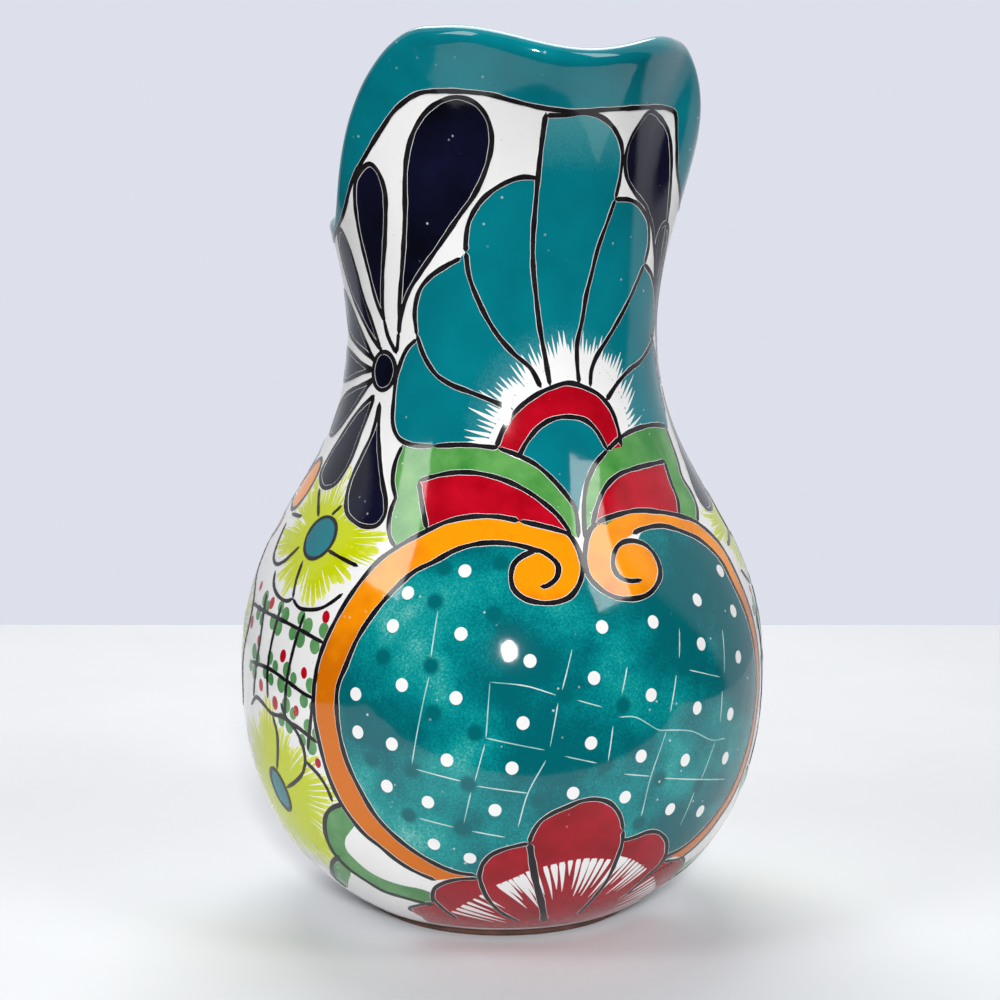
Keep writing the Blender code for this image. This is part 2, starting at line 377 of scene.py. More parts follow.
def make_wall():
    """The wall's skin: base, pear, neck, lip, then the same curves inwards by the wall, to the floor."""
    outside = pear_profile(OUTSIDE_STEPS // 2, OUTSIDE_STEPS // 2)
    tangent = np.gradient(outside, axis=0)
    inside = outside - WALL * unit(np.stack([tangent[:, 1], -tangent[:, 0]], axis=1))
    inside = inside[inside[:, 1] > FLOOR_Z + WALL]
    corner = inside[0]
    bend = ((corner[0] - 2 * WALL, FLOOR_Z), (corner[0] - WALL, FLOOR_Z), corner, corner)
    hollow = bezier(bend, np.linspace(0, 1, HOLLOW_STEPS + 1))
    inner = np.vstack([hollow[:-1], inside[:-1]])[::-1]
    climb = np.linspace(0, 1, NECK_STEPS + 1)
    rings = np.concatenate([
        turned_rings(np.array([[BASE_RADIUS - BASE_INSET, BASE_Z]])),
        around(wall_radius(TURN, outside[:-1, 1:]), TURN, outside[:-1, 1:]),
        neck_rings(climb),
        lip_rings(),
        neck_rings(climb[::-1], WALL),
        turned_rings(inner),
    ])
    points, faces = capped(rings, (0, 0, BASE_Z), (0, 0, FLOOR_Z))
    return add_piece("glazed_wall", points, faces, white_glaze)


white_glaze = make_white_glaze()
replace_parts(make_wall(), "belly", "neck")

# Handle
# A strap of clay pulled by hand, bent over behind the neck, and luted at both ends with a flared pad of
# clay. It is dipped in the teal of the rim. The view hides it, so its curve is that of its kind.
UPPER_SEAT_DROP = 0.0155
LOWER_SEAT_RISE = 0.032
UPPER_SEAT_TILT = math.radians(20)
LOWER_SEAT_TILT = math.radians(18)
UPPER_REACH = 0.060
LOWER_REACH = 0.046
STRAP_TOP = np.array([0.026, 0.0125])
STRAP_END = np.array([0.021, 0.011])
PAD_DEPTH = 0.0075
PAD_SPREAD = 1.5
PAD_SINK = 0.0008
STRAP_SIDES = 56
STRAP_SQUARE = 0.75
STRAP_STEPS = 90
PAD_STEPS = 16
UPPER_SEAT_Z = NECK_Z + SIDE_RISE - UPPER_SEAT_DROP
LOWER_SEAT_Z = BELLY_HEIGHT + LOWER_SEAT_RISE


def strap_section(size):
    """Offsets across and through the strap: a circle's cosine and sine, to a power below 1, by its sizes."""
    turn = np.linspace(0, 2 * math.pi, STRAP_SIDES, endpoint=False)
    ring = np.stack([np.cos(turn), np.sin(turn)], axis=1)
    return np.sign(ring) * np.abs(ring) ** STRAP_SQUARE * size / 2


def seat(height, tilt):
    """Where a handle end meets the wall behind, and the wall's normal there tilted up."""
    point, normal = on_wall(np.array(math.pi), np.array(height))
    lean = math.atan2(normal[2], normal[1]) + tilt
    return np.array([0, point[1], height]), np.array([0, math.cos(lean), math.sin(lean)])


def strap_ring(centre, way, size):
    """The strap's section square to the way it runs, with its width along X."""
    section = strap_section(size)
    side = np.array([1.0, 0, 0])
    return centre + section[:, :1] * side + section[:, 1:] * np.cross(side, way)


def wall_ring(height, size, lift):
    """A strap-shaped ring laid on the wall behind, at a lift above it."""
    section = strap_section(size)
    _, middle = on_wall(np.array(math.pi), np.array(height))
    level = height + section[:, 1] * middle[1]
    angle = math.pi - section[:, 0] / wall_radius(math.pi, level)
    point, normal = on_wall(angle, level)
    return point + lift * normal


def pad_rings(height, way, end, size):
    """Rings from inside the wall out to the strap: straight lines, drawn in by share times 1 - share."""
    foot = wall_ring(height, size * PAD_SPREAD, 0)
    spread = foot - strap_ring(end, way, size)
    sideways = spread - (spread @ way)[:, None] * way
    share = np.linspace(0, 1, PAD_STEPS + 1)[:-1, None, None]
    rings = foot - share * spread - share * (1 - share) * sideways
    return np.concatenate([wall_ring(height, size * PAD_SPREAD, -PAD_SINK)[None], rings])


SRGB_FOOT = 0.04045
SRGB_SLOPE = 12.92
SRGB_OFFSET = 0.055
SRGB_POWER = 2.4
SPECK_SCALE = 260
SPECK_BLUR = 0.06
SPECK_SIZE = 0.055
SPECK_PALE = (0.55, 0.66, 0.66)
SPECK_CLOUD_SCALE = 90
SPECK_CLOUDS = [(0.54, (0, 0, 0)), (0.62, (1, 1, 1))]
TEAL_CLOUD_SCALE = 45
TEAL_CLOUDS = [(0.3, (0, 108, 120)), (0.72, (3, 129, 141))]
PALE_TEAL = (112, 186, 190)
PALE_GRAIN_SCALE = 1500
PALE_GRAIN = 0.008
# Where teal pales, by height towards the top of the neck and by white mist round a heart: where it
# begins, where it is most, and how much.
TOP_PALE_SPAN = (0.2145, 0.2300, 0.40)
MIST_SPAN = (0.0310, 0.0215, 0.32)


def glaze_colour(red, green, blue):
    """A colour given as 0 to 255, made linear: each share to a power, with a straight foot."""
    share = np.array([red, green, blue]) / 255
    curve = ((share + SRGB_OFFSET) / (1 + SRGB_OFFSET)) ** SRGB_POWER
    return tuple(np.where(share <= SRGB_FOOT, share / SRGB_SLOPE, curve))


def tones(stops):
    """Stops of a ramp, whose colours are given as 0 to 255."""
    return [(at, glaze_colour(*tone)) for at, tone in stops]


def scaled(tree, value, factor, added):
    """A value times a factor, with something added."""
    inputs = {0: value, 1: factor, 2: added}
    return node(tree, "ShaderNodeMath", inputs, operation="MULTIPLY_ADD").outputs["Value"]


def away_from(tree, place, heart):
    """Distance from a heart, in metres."""
    inputs = {0: place, 1: tuple(heart)}
    return node(tree, "ShaderNodeVectorMath", inputs, operation="DISTANCE").outputs["Value"]


def level_of(tree, place):
    """Height above the foot, in metres."""
    return node(tree, "ShaderNodeSeparateXYZ", {"Vector": place}).outputs["Z"]


def specks(tree, place, colour, pale=SPECK_PALE, size=SPECK_SIZE):
    """Pale pinpoints over a colour: the near points of a fine cell pattern, where a noise allows them."""
    dot = ramp(tree, cells(tree, place, SPECK_SCALE), [(size, (1, 1, 1)), (size + SPECK_BLUR, (0, 0, 0))])
    where = ramp(tree, noise(tree, place, SPECK_CLOUD_SCALE), SPECK_CLOUDS)
    return mix(tree, mix(tree, 1.0, dot, where, "MULTIPLY"), colour, (*pale, 1))


def make_teal_glaze(name, heart=None):
    """Clear teal over white: thicker and darker in clouds, with pale specks where bubbles broke. Round a
    heart it is misted with white, and it pales towards the top of the neck."""
    finish, tree, shader, place = new_finish(name)
    colour = ramp(tree, noise(tree, place, TEAL_CLOUD_SCALE, detail=5), tones(TEAL_CLOUDS))
    if heart is not None:
        grain = noise(tree, place, PALE_GRAIN_SCALE, detail=1)
        spans = ((level_of(tree, place), TOP_PALE_SPAN), (away_from(tree, place, heart), MIST_SPAN))
        for reach, (none, full, most) in spans:
            uneven = scaled(tree, grain, PALE_GRAIN, reach)
            limits = {"Value": uneven, "From Min": none, "From Max": full, "To Max": most}
            share = node(tree, "ShaderNodeMapRange", limits).outputs["Result"]
            colour = mix(tree, share, colour, (*glaze_colour(*PALE_TEAL), 1))
    glaze_gloss(tree, shader, place, specks(tree, place, colour))
    return finish


def make_handle():
    """The strap's section carried along a cubic from the neck to the shoulder, with a pad at each end."""
    top, top_way = seat(UPPER_SEAT_Z, UPPER_SEAT_TILT)
    end, end_way = seat(LOWER_SEAT_Z, LOWER_SEAT_TILT)
    top_end, low_end = top + PAD_DEPTH * top_way, end + PAD_DEPTH * end_way
    share = np.linspace(0, 1, STRAP_STEPS + 1)
    line = bezier((top_end, top_end + UPPER_REACH * top_way, low_end + LOWER_REACH * end_way, low_end), share)
    ways = unit(np.gradient(line, axis=0))
    ways[0], ways[-1] = top_way, -end_way
    sizes = STRAP_TOP + share[:, None] * (STRAP_END - STRAP_TOP)
    strap = np.stack([strap_ring(*parts) for parts in zip(line, ways, sizes)])
    upper = pad_rings(UPPER_SEAT_Z, top_way, top_end, STRAP_TOP)
    lower = pad_rings(LOWER_SEAT_Z, end_way, low_end, STRAP_END)
    turned_over = np.roll(lower[:, ::-1], 1, axis=1)
    rings = np.concatenate([upper, strap, turned_over[::-1]])[:, ::-1]
    points, faces = capped(rings, rings[0].mean(axis=0), rings[-1].mean(axis=0))
    return add_piece("strap_handle", points, faces, teal_glaze)


teal_glaze = make_teal_glaze("teal_glaze")
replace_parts(make_handle(), "handle", "upper_handle_pad", "lower_handle_pad")

# Foot
# The flat disc that the pitcher stands on, turned with the body. It is wiped clean of glaze before firing,
# so its red clay stays bare and sandy. Its browns are darker than the clay's own: painted shade for the
# shadow under the belly.
FOOT_RADIUS = 0.0378
FOOT_CHAMFER = 0.0008
SHARP_EDGE = math.radians(30)
CLAY_CLOUD_SCALE = 120
# The clay's browns, darkened as painted shade of the foot's shadow under the belly.
SHADED_CLAY_CLOUDS = [(0.3, (66, 44, 38)), (0.7, (112, 74, 60))]
CLAY_ROUGHNESS = 0.85
SAND_SCALE = 900
SAND_STRENGTH = 0.4
SAND_DEPTH = 0.0005


def make_shaded_clay():
    """Fired red clay: brown clouds darkened as painted shade, a bump of fine sand, and little gloss."""
    finish, tree, shader, place = new_finish("bare_clay")
    colour = ramp(tree, noise(tree, place, CLAY_CLOUD_SCALE, detail=6), tones(SHADED_CLAY_CLOUDS))
    tree.links.new(colour, shader.inputs["Base Color"])
    shader.inputs["Roughness"].default_value = CLAY_ROUGHNESS
    roughen(tree, shader, noise(tree, place, SAND_SCALE, detail=3), SAND_STRENGTH, SAND_DEPTH)
    return finish


def make_foot():
    """A disc turned from a profile with a chamfered lower edge."""
    profile = np.array([
        (FOOT_RADIUS - FOOT_CHAMFER, 0),
        (FOOT_RADIUS, FOOT_CHAMFER),
        (FOOT_RADIUS, FOOT_HEIGHT),
    ])
    points, faces = capped(turned_rings(profile), (0, 0, 0), (0, 0, FOOT_HEIGHT))
    piece = add_piece("clay_foot", points, faces, make_shaded_clay())
    piece.data.set_sharp_from_angle(angle=SHARP_EDGE)
    return piece


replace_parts(make_foot(), "foot")

# Rim band
# The painter floods the raised rim with teal, over the lip and a finger's breadth inside, and closes it below
# with a brushed black line. The line runs level under the spout and falls along each side to the low rim.
RIM_LINE_PX = [
    (334.5, 239), (339, 226), (345, 210), (353, 180), (366, 155), (381, 130), (396, 109), (417, 94),
    (440, 91), (488, 94), (514, 101), (544, 108), (575, 111), (613, 109), (657, 107), (669, 109),
    (675, 114), (676, 135), (677, 173), (680, 209),
]
BACK_BAND = 0.006
BAND_INSIDE = 0.012
BAND_STEPS = 12
FIRST_COAT = 5e-5
SECOND_COAT = 9e-5
THIRD_COAT = 1.2e-4
MARGIN_COAT = 1.5e-4
LINE_COAT = 1.9e-4
COAT_SINK = 5e-5
LINE_HALF = 0.00066
MARGIN = 0.00012
PATH_STEP = 0.0012
PATCH_RING = 0.0024
SIGHT_ROUNDS = 60
FEWEST_STEPS = 6
SWELL = 0.10
SWELL_RUN = 0.0021
TREMOR = 0.06
TREMOR_RUN = 0.0009
WAVE_START = 1000
LEAST_END = 0.15
BLACK_CLOUD_SCALE = 220
BLACK_CLOUDS = [(0.35, (0.006, 0.006, 0.008)), (0.75, (0.020, 0.017, 0.019))]


def trace(pixels):
    """Angle and height on the wall under picture pixels: each line of sight is cut by a cylinder, whose
    radius is drawn halfway to the wall's own at that place, again and again, until they agree."""
    way = sight_lines(pixels)
    across = way[:, 0] ** 2 + way[:, 1] ** 2
    along = EYE[:2] @ way[:, :2].T
    radius = np.full(len(way), BELLY_RADIUS)
    for _ in range(SIGHT_ROUNDS):
        inside = np.maximum(along ** 2 - across * (EYE[:2] @ EYE[:2] - radius ** 2), 0)
        point = EYE + ((-along - np.sqrt(inside)) / across)[:, None] * way
        angle = np.arctan2(point[:, 0], -point[:, 1])
        radius = (radius + wall_radius(angle, point[:, 2])) / 2
    return np.stack([angle, point[:, 2]], axis=1)


def mirrored(path):
    """The same path on the other flank of the pitcher."""
    return path * (-1, 1)


def smooth(points, closed=False):
    """A curve through points: cubics whose slopes are those of the parabola through each three points, over
    knots spaced by the square roots of the chords, cut about a step apart."""
    points = np.asarray(points, float)
    pad = 3 if closed else 0
    if closed:
        points = np.vstack([points[-pad:], points, points[:pad]])
    chord = np.linalg.norm(np.diff(points * (BELLY_RADIUS, 1), axis=0), axis=1)
    knot = np.concatenate([[0], np.cumsum(np.sqrt(chord))])
    slope = np.gradient(points, knot, axis=0)
    last = len(knot) - 1 - (pad - 1 if closed else 0)
    count = max(int(chord[pad:last].sum() / PATH_STEP), FEWEST_STEPS)
    place = np.linspace(knot[pad], knot[last], count + 1)[: count if closed else None]
    i = np.clip(np.searchsorted(knot, place, side="right") - 1, 0, len(knot) - 2)
    span = (knot[i + 1] - knot[i])[:, None]
    t = (place - knot[i])[:, None] / span
    start = points[i] * (1 + 2 * t) * (1 - t) ** 2 + slope[i] * span * t * (1 - t) ** 2
    return start + points[i + 1] * t * t * (3 - 2 * t) + slope[i + 1] * span * t * t * (t - 1)


def drawn(*runs):
    """One path through runs of picture pixels, smooth along each run, with a corner where runs meet."""
    parts = [smooth(trace(run)) for run in runs]
    return np.vstack([part[:-1] for part in parts[:-1]] + [parts[-1]])


def slide(path, distance, closed=False):
    """A path moved sideways along the wall: by the cross product of its own way and the wall's normal."""
    point, normal = on_wall(path[:, 0], path[:, 1])
    way = np.roll(point, -1, axis=0) - np.roll(point, 1, axis=0) if closed else np.gradient(point, axis=0)
    moved = point + np.reshape(distance, (-1, 1)) * unit(np.cross(way, normal))
    turn = np.arctan2(moved[:, 0], -moved[:, 1]) - path[:, 0]
    return np.stack([path[:, 0] + (turn + math.pi) % (2 * math.pi) - math.pi, moved[:, 2]], axis=1)


def ribbon(left, right, lift, columns=3, closed=False):
    """A film between two edges: straight shares across, lifted, and the same back, sunk in the wall."""
    gap, way = right - left, np.gradient(left, axis=0)
    if np.sum(gap[:, 0] * way[:, 1] - gap[:, 1] * way[:, 0]) < 0:
        left, right = right, left
    share = np.concatenate([np.linspace(0, 1, columns), np.linspace(1, 0, columns)])
    raised = np.where(np.arange(len(share)) < columns, lift, -COAT_SINK)
    place = left[:, None] * (1 - share[:, None]) + right[:, None] * share[:, None]
    point, normal = on_wall(place[..., 0], place[..., 1])
    rows, cols = point.shape[:2]
    length = np.linspace(0, 1, rows)[:, None]
    paint = np.stack(np.broadcast_arrays(length, share), axis=-1)
    faces = [ring_faces(rows, cols, closed)]
    if not closed:
        faces += [np.arange(cols)[None, ::-1], np.arange(cols)[None] + (rows - 1) * cols]
    points = point + raised[:, None] * normal
    return points.reshape(-1, 3), faces, normal.reshape(-1, 3), paint.reshape(-1, 2)


def strip(path, half, lift, columns=3, closed=False):
    """A ribbon of a half width on each side of a path."""
    return ribbon(slide(path, -half, closed), slide(path, half, closed), lift, columns, closed)


def patch(outline, lift, centre=None):
    """A film inside an outline that its centre sees whole: rings at even shares of the way out, lifted, then
    the same rings back to the centre, sunk in the wall."""
    centre = outline.mean(axis=0) if centre is None else np.asarray(centre)
    swing = outline - centre
    ahead = np.roll(swing, -1, axis=0)
    if np.sum(swing[:, 0] * ahead[:, 1] - swing[:, 1] * ahead[:, 0]) > 0:
        swing = swing[::-1]
    steps = max(int(np.hypot(swing[:, 0] * BELLY_RADIUS, swing[:, 1]).max() / PATCH_RING), 1)
    share = np.linspace(0, 1, steps + 1)[1:]
    share = np.concatenate([share, share[::-1]])
    raised = np.where(np.arange(2 * steps) < steps, lift, -COAT_SINK)[:, None, None]
    place = centre + share[:, None, None] * swing
    point, normal = on_wall(place[..., 0], place[..., 1])
    middle, middle_normal = on_wall(centre[0], centre[1])
    top, bottom = middle + lift * middle_normal, middle - COAT_SINK * middle_normal
    points, faces = capped(point + raised * normal, top, bottom)
    side = np.sign(raised)
    normals = np.vstack([(side * normal).reshape(-1, 3), [middle_normal, -middle_normal]])
    turn = np.linspace(0, 1, len(swing), endpoint=False)
    paint = np.stack(np.broadcast_arrays(share[:, None], turn), axis=-1).reshape(-1, 2)
    return points, faces, normals, np.vstack([paint, [(0, 0), (0, 0)]])


def paint_piece(name, films, finish):
    """One piece out of many films, with each film's point numbers moved on past those before it."""
    starts = np.cumsum([0] + [len(film[0]) for film in films])
    faces = [group + start for film, start in zip(films, starts) for group in film[1]]
    points, normals, paint = (np.vstack([film[i] for film in films]) for i in (0, 2, 3))
    add_piece(name, points, faces, finish, normals, paint)


def brushed(path, half, closed=False):
    """Half widths of a brush line: two slow waves, and rounded ends where the path is open."""
    point, _ = on_wall(path[:, 0], path[:, 1])
    run = np.concatenate([[0], np.cumsum(np.linalg.norm(np.diff(point, axis=0), axis=1))])
    start = WAVE_START * path[0].sum()
    tremor = TREMOR * np.sin(run / TREMOR_RUN + 2 * start)
    width = half * (1 + SWELL * np.sin(run / SWELL_RUN + start) + tremor)
    if closed:
        return width
    end = np.clip(np.minimum(run, run[-1] - run) / half, 0, 1)
    return width * np.maximum(np.sqrt(1 - (1 - end) ** 2), LEAST_END)


def ink(name, lines, half=LINE_HALF, rings=(), margin=True):
    """Black brush lines, each over a slightly wider line of bare white, where the colours keep clear."""
    runs = [(path, False) for path in lines] + [(path, True) for path in rings]
    coats = [("_lines", half, LINE_COAT, black_line, "black_line")]
    if margin:
        coats.append(("_margins", half + MARGIN, MARGIN_COAT, white_glaze, "white_glaze"))
    for ending, width, lift, finish, slot in coats:
        films = [strip(path, brushed(path, width, closed), lift, 3, closed) for path, closed in runs]
        paint_piece(name + ending, films, finish)


def make_black_line():
    """Brushed black: a shade lighter in clouds, where the stroke is thin."""
    finish, tree, shader, place = new_finish("black_line")
    load = noise(tree, place, BLACK_CLOUD_SCALE, detail=4)
    glaze_gloss(tree, shader, place, ramp(tree, load, BLACK_CLOUDS))
    return finish


def band_edge():
    """Height of the band's lower edge round the pitcher: the traced line, and a narrow band behind it."""
    line = smooth(trace(RIM_LINE_PX))
    order = np.argsort(line[:, 0])
    front = np.interp(TURN, line[order, 0], line[order, 1])
    hidden = (TURN < line[:, 0].min()) | (TURN > line[:, 0].max())
    return np.where(hidden, np.minimum(front, rim_height(TURN) - BACK_BAND), front)


def make_rim_band():
    """The band's film: up the outer wall from its edge, over the lip, down inside, and back under it."""
    low, top = band_edge(), rim_height(TURN) - WALL / 2
    share = np.linspace(0, 1, BAND_STEPS + 1)[:, None]
    height = low + share * (top - low)
    point, normal = on_wall(np.broadcast_to(TURN, height.shape), height)
    deep = top - share * BAND_INSIDE
    inner, inner_normal = on_wall(np.broadcast_to(TURN, deep.shape), deep)
    inner = inner - WALL * inner_normal
    film = [
        np.concatenate([point + lift * normal, lip_rings(lift), inner - lift * inner_normal])
        for lift in (FIRST_COAT, -COAT_SINK)
    ]
    rings = np.concatenate([film[0], film[1][::-1]])
    faces = [ring_faces(*rings.shape[:2], joined_rows=True)]
    add_piece("rim_band", rings.reshape(-1, 3), faces, teal_glaze)


black_line = make_black_line()
make_rim_band()
ink("rim_band", [], rings=[np.stack([TURN, band_edge()], axis=1)])

# Navy flowers
# On each flank of the neck, long teardrop petals of near-black navy ring a small oval, and are outlined in
# black. The left flower is seen best. Its petals out of sight, and most of the right one, repeat what shows.
NAVY_CENTRE_PX = (384, 371)
NAVY_CENTRE_SIZE = (0.0046, 0.0052)
FRONT_PETAL_PX = [
    (399, 335), (400, 300), (403, 258), (405, 218), (405, 179), (407, 155), (413, 133), (425, 113),
    (441, 101), (459, 97), (477, 104), (488, 119), (492, 139), (488, 163), (476, 192), (458, 218),
    (439, 246), (421, 272), (409, 292), (402, 313), (399, 335),
]
SECOND_PETAL_PX = [
    (385, 322), (376, 299), (369, 272), (362, 244), (357, 218), (355, 197), (356, 181), (362, 169),
    (371, 164), (379, 173), (385, 191), (386, 212), (385, 244), (383, 278), (383, 307), (385, 322),
]
THIRD_PETAL_PX = [
    (381, 349), (373, 338), (362, 317), (352, 293), (344, 266), (339, 242), (341, 229), (349, 245),
    (356, 268), (364, 297), (373, 323), (381, 349),
]
LOW_PETAL_PX = [
    (380, 402), (373, 432), (362, 456), (352, 478), (347, 496), (347, 512), (355, 522), (366, 527),
    (378, 525), (385, 515), (386, 500), (383, 483), (380, 456), (379, 430), (380, 402),
]
LOW_LEFT_PETAL_PX = [
    (375, 395), (358, 412), (343, 434), (330, 455), (322, 471), (321, 481), (325, 488), (336, 484),
    (345, 472), (353, 456), (361, 434), (375, 395),
]
RIGHT_PETAL_PX = [
    (656, 288), (654, 256), (652, 229), (646, 208), (634, 192), (626, 176), (625, 157), (630, 139),
    (640, 122), (648, 112), (660, 118), (668, 132), (671, 155), (670, 187), (667, 219), (661, 258),
    (656, 288),
]
STEMS_PX = [[(399, 332), (397, 353)], [(384, 318), (388, 335), (397, 354)], [(380, 346), (383, 355)]]
HIDDEN_PETALS = ((-58, 0.036), (-90, 0.034), (-122, 0.034))
RIGHT_HIDDEN_PETALS = ((-14, 0.041),)
PETAL_HALF = 0.0054
PETAL_POINTS = 60
PETAL_FULLNESS = 1.3
PETAL_COLUMNS = 6
WASH_STOPS = (0.32, 0.70)
WASH_SPECK = (0.6, 0.62, 0.64)
WASH_SPECK_SIZE = 0.05


def spread(centre, offsets):
    """Angles and heights at offsets, right and up in metres along the wall, from a place on it."""
    angle, height = centre
    _, normal = on_wall(np.array(angle), np.array(height))
    level = height + offsets[:, 1] * math.sqrt(1 - normal[2] ** 2)
    return np.stack([angle + offsets[:, 0] / wall_radius(angle, level), level], axis=1)


def leaning(across, up, lean):
    """Offsets across and up, turned to the right by a lean: the sums of each by its cosine and sine."""
    cos, sin = math.cos(lean), math.sin(lean)
    return np.stack([across * cos + up * sin, up * cos - across * sin], axis=1)


def oval(centre, size, tilt=0.0, sides=40):
    """An ellipse on the wall, of two half sizes, leaning right by the tilt."""
    turn = np.linspace(0, 2 * math.pi, sides, endpoint=False)
    return spread(centre, leaning(size[0] * np.cos(turn), size[1] * np.sin(turn), tilt))


def teardrop(centre, lean, length, half, start=0.004):
    """A petal from a centre, at a lean from upright, as wide as a sine by the squared sine of half a turn."""
    turn = np.linspace(0, 2 * math.pi, PETAL_POINTS)
    along = start + (length - start) * (1 - np.cos(turn)) / 2
    across = PETAL_FULLNESS * half * np.sin(turn) * np.sin(turn / 2) ** 2
    return spread(centre, leaning(across, along, math.radians(lean)))


def even(path, count):
    """A path cut again into steps of one length."""
    run = np.linalg.norm(np.diff(path * (BELLY_RADIUS, 1), axis=0), axis=1)
    share = np.concatenate([[0], np.cumsum(run)]) / run.sum()
    cut = np.linspace(0, 1, count)
    return np.stack([np.interp(cut, share, path[:, 0]), np.interp(cut, share, path[:, 1])], axis=1)


def petal(outline, lift):
    """A film inside a petal drawn from its tip, round and back: straight shares between its flanks."""
    flank = len(outline) // 2
    ring = even(outline, 2 * flank + 1)
    return ribbon(ring[1:flank], ring[:flank:-1][1:flank], lift, PETAL_COLUMNS)


def make_glaze(name, deep, thin, scale=60, detail=5, speck=WASH_SPECK, climb=0, level=0):
    """A brushed colour over white: clouds from its deep to its thin shade, and pale specks. A climb pales it
    by so much for each metre above a level."""
    finish, tree, shader, place = new_finish(name)
    wash = noise(tree, place, scale, detail)
    if climb:
        wash = scaled(tree, scaled(tree, level_of(tree, place), 1, -level), climb, wash)
    colour = ramp(tree, wash, tones(zip(WASH_STOPS, (deep, thin))))
    glaze_gloss(tree, shader, place, specks(tree, place, colour, speck, WASH_SPECK_SIZE))
    return finish


def make_navy_flowers():
    """Traced petals, teardrops for those out of sight, and an oval eye in each flower."""
    centre = trace([NAVY_CENTRE_PX])[0]
    low = [drawn(LOW_PETAL_PX), drawn(LOW_LEFT_PETAL_PX)]
    low += [teardrop(centre, *shape, PETAL_HALF) for shape in HIDDEN_PETALS] + [drawn(THIRD_PETAL_PX)]
    left = low + [drawn(FRONT_PETAL_PX), drawn(SECOND_PETAL_PX)]
    far = mirrored(centre)
    right = [mirrored(path) for path in low] + [drawn(RIGHT_PETAL_PX)]
    right += [teardrop(far, *shape, PETAL_HALF) for shape in RIGHT_HIDDEN_PETALS]
    eyes = [oval(centre, NAVY_CENTRE_SIZE), oval(far, NAVY_CENTRE_SIZE)]
    films = [petal(path, SECOND_COAT) for path in left + right] + [patch(eye, THIRD_COAT) for eye in eyes]
    paint_piece("navy_petals", films, navy_glaze)
    stems = [drawn(stem) for stem in STEMS_PX]
    ink("navy_flower", left + right + stems, rings=eyes)


navy_glaze = make_glaze("navy_glaze", (5, 6, 15), (17, 18, 46))
make_navy_flowers()

# Fan flower
# The big teal flower on the front of the neck: seven petals that open from a red arch. The teal was brushed
# in from the tips, and left a ragged fringe of bare white round the arch.
FAN_LOW_PX = [
    (434, 446), (412, 445), (398, 437), (393, 422), (394, 400), (397, 376), (406, 351), (417, 339),
]
FAN_FAR_FROM = 3
FAN_MID_PX = [(417, 336), (415, 312), (419, 292), (429, 278), (446, 266), (461, 258)]
FAN_TOP_PX = [(466, 252), (466, 240), (469, 222), (481, 201), (501, 185), (522, 177), (537, 178)]
FAN_SIDE_PX = [(537, 178), (541, 150), (546, 115)]
FAN_CROWN_PX = [
    (546, 115), (563, 115), (588, 113), (603, 118), (616, 132), (622, 151), (620, 176), (615, 199),
]
FAN_RIGHT_TOP_PX = [(615, 199), (630, 200), (641, 208), (648, 224), (648, 247), (644, 264)]
FAN_RIGHT_MID_PX = [(644, 264), (651, 275), (654, 291), (655, 311), (652, 340)]
PETAL_LINES_PX = [
    [(546, 112), (540, 157), (536, 199), (533, 238), (533, 265), (536, 297), (540, 330), (545, 357),
     (550, 386)],
    [(615, 199), (607, 222), (598, 247), (591, 275), (586, 295), (582, 320), (577, 343), (577, 364),
     (579, 384)],
    [(466, 252), (469, 275), (479, 302), (494, 330), (513, 353), (531, 369), (541, 388)],
    [(417, 334), (423, 353), (435, 373), (450, 384), (470, 392), (490, 400), (513, 410)],
    [(644, 264), (634, 288), (623, 311), (607, 339), (596, 357), (591, 371), (590, 387)],
    [(652, 340), (639, 362), (630, 369), (618, 382), (606, 400)],
]
FAN_BASE_PX = [(434, 446), (466, 445), (498, 448)]
FRINGE_PX = [
    (487, 447), (491, 433), (502, 415), (512, 400), (524, 387), (538, 376), (552, 366), (562, 363),
    (572, 362), (584, 362), (596, 363), (606, 371), (616, 387), (624, 407), (628, 425), (629, 446),
]
FRINGE_TIPS_PX = [
    (456, 444), (459, 430), (469, 407), (487, 382), (505, 367), (527, 347), (547, 330), (568, 330),
    (594, 332), (612, 343), (624, 357), (633, 375), (640, 407), (644, 424), (646, 436),
]
FRINGE_SPIKES = 58
FRINGE_COAT = 7e-5
FRINGE_REACH = (0.5, 1.05)
FRINGE_DRIFT = 0.12
FRINGE_SIZES = (0.6, 1.2)
SPIKE_COAT = FRINGE_COAT - 5e-6
SPIKE_STEPS = 10
EDGE_STEPS = 60
SPIKE_HALF = 0.00078
FAN_HEART_PX = (565, 425)
ARCH_OUTER_PX = [
    (496, 448), (504, 428), (517, 410), (536, 395), (553, 387), (568, 383), (586, 388), (601, 397),
    (612, 412), (618, 430), (621, 447),
]
ARCH_INNER_PX = [
    (518, 458), (526, 443), (538, 428), (553, 419), (570, 417), (586, 421), (597, 432), (607, 450),
]
SPIKE_SHARES = (0, 0.12, 0.4, 0.7, 1)
SPIKE_WIDTHS = (0.75, 1, 0.72, 0.4, 0.06)
RED_SPECK = (0.62, 0.12, 0.13)
BRUSH_SEED = 11
brush = np.random.default_rng(BRUSH_SEED)


def spike(base, tip, half, lift, steps=SPIKE_STEPS, shares=SPIKE_SHARES, widths=SPIKE_WIDTHS):
    """A brush tip's mark: a straight line from a base to a tip, with widths given at shares of the way."""
    share = np.linspace(0, 1, steps)
    path = base + share[:, None] * (tip - base)
    return strip(path, half * np.interp(share, shares, widths), lift, 2)


def fringe(bases, tips, count, half, lift):
    """Spikes from one path to another, each of its own length and lean."""
    bases, tips = even(bases, count), even(tips, count)
    reach = brush.uniform(*FRINGE_REACH, (count, 1))
    drift = brush.normal(0, FRINGE_DRIFT, (count, 1)) * np.gradient(tips, axis=0)
    ends = bases + reach * (tips - bases) + drift
    sizes = half * brush.uniform(*FRINGE_SIZES, count)
    return [spike(base, end, size, lift) for base, end, size in zip(bases, ends, sizes)]


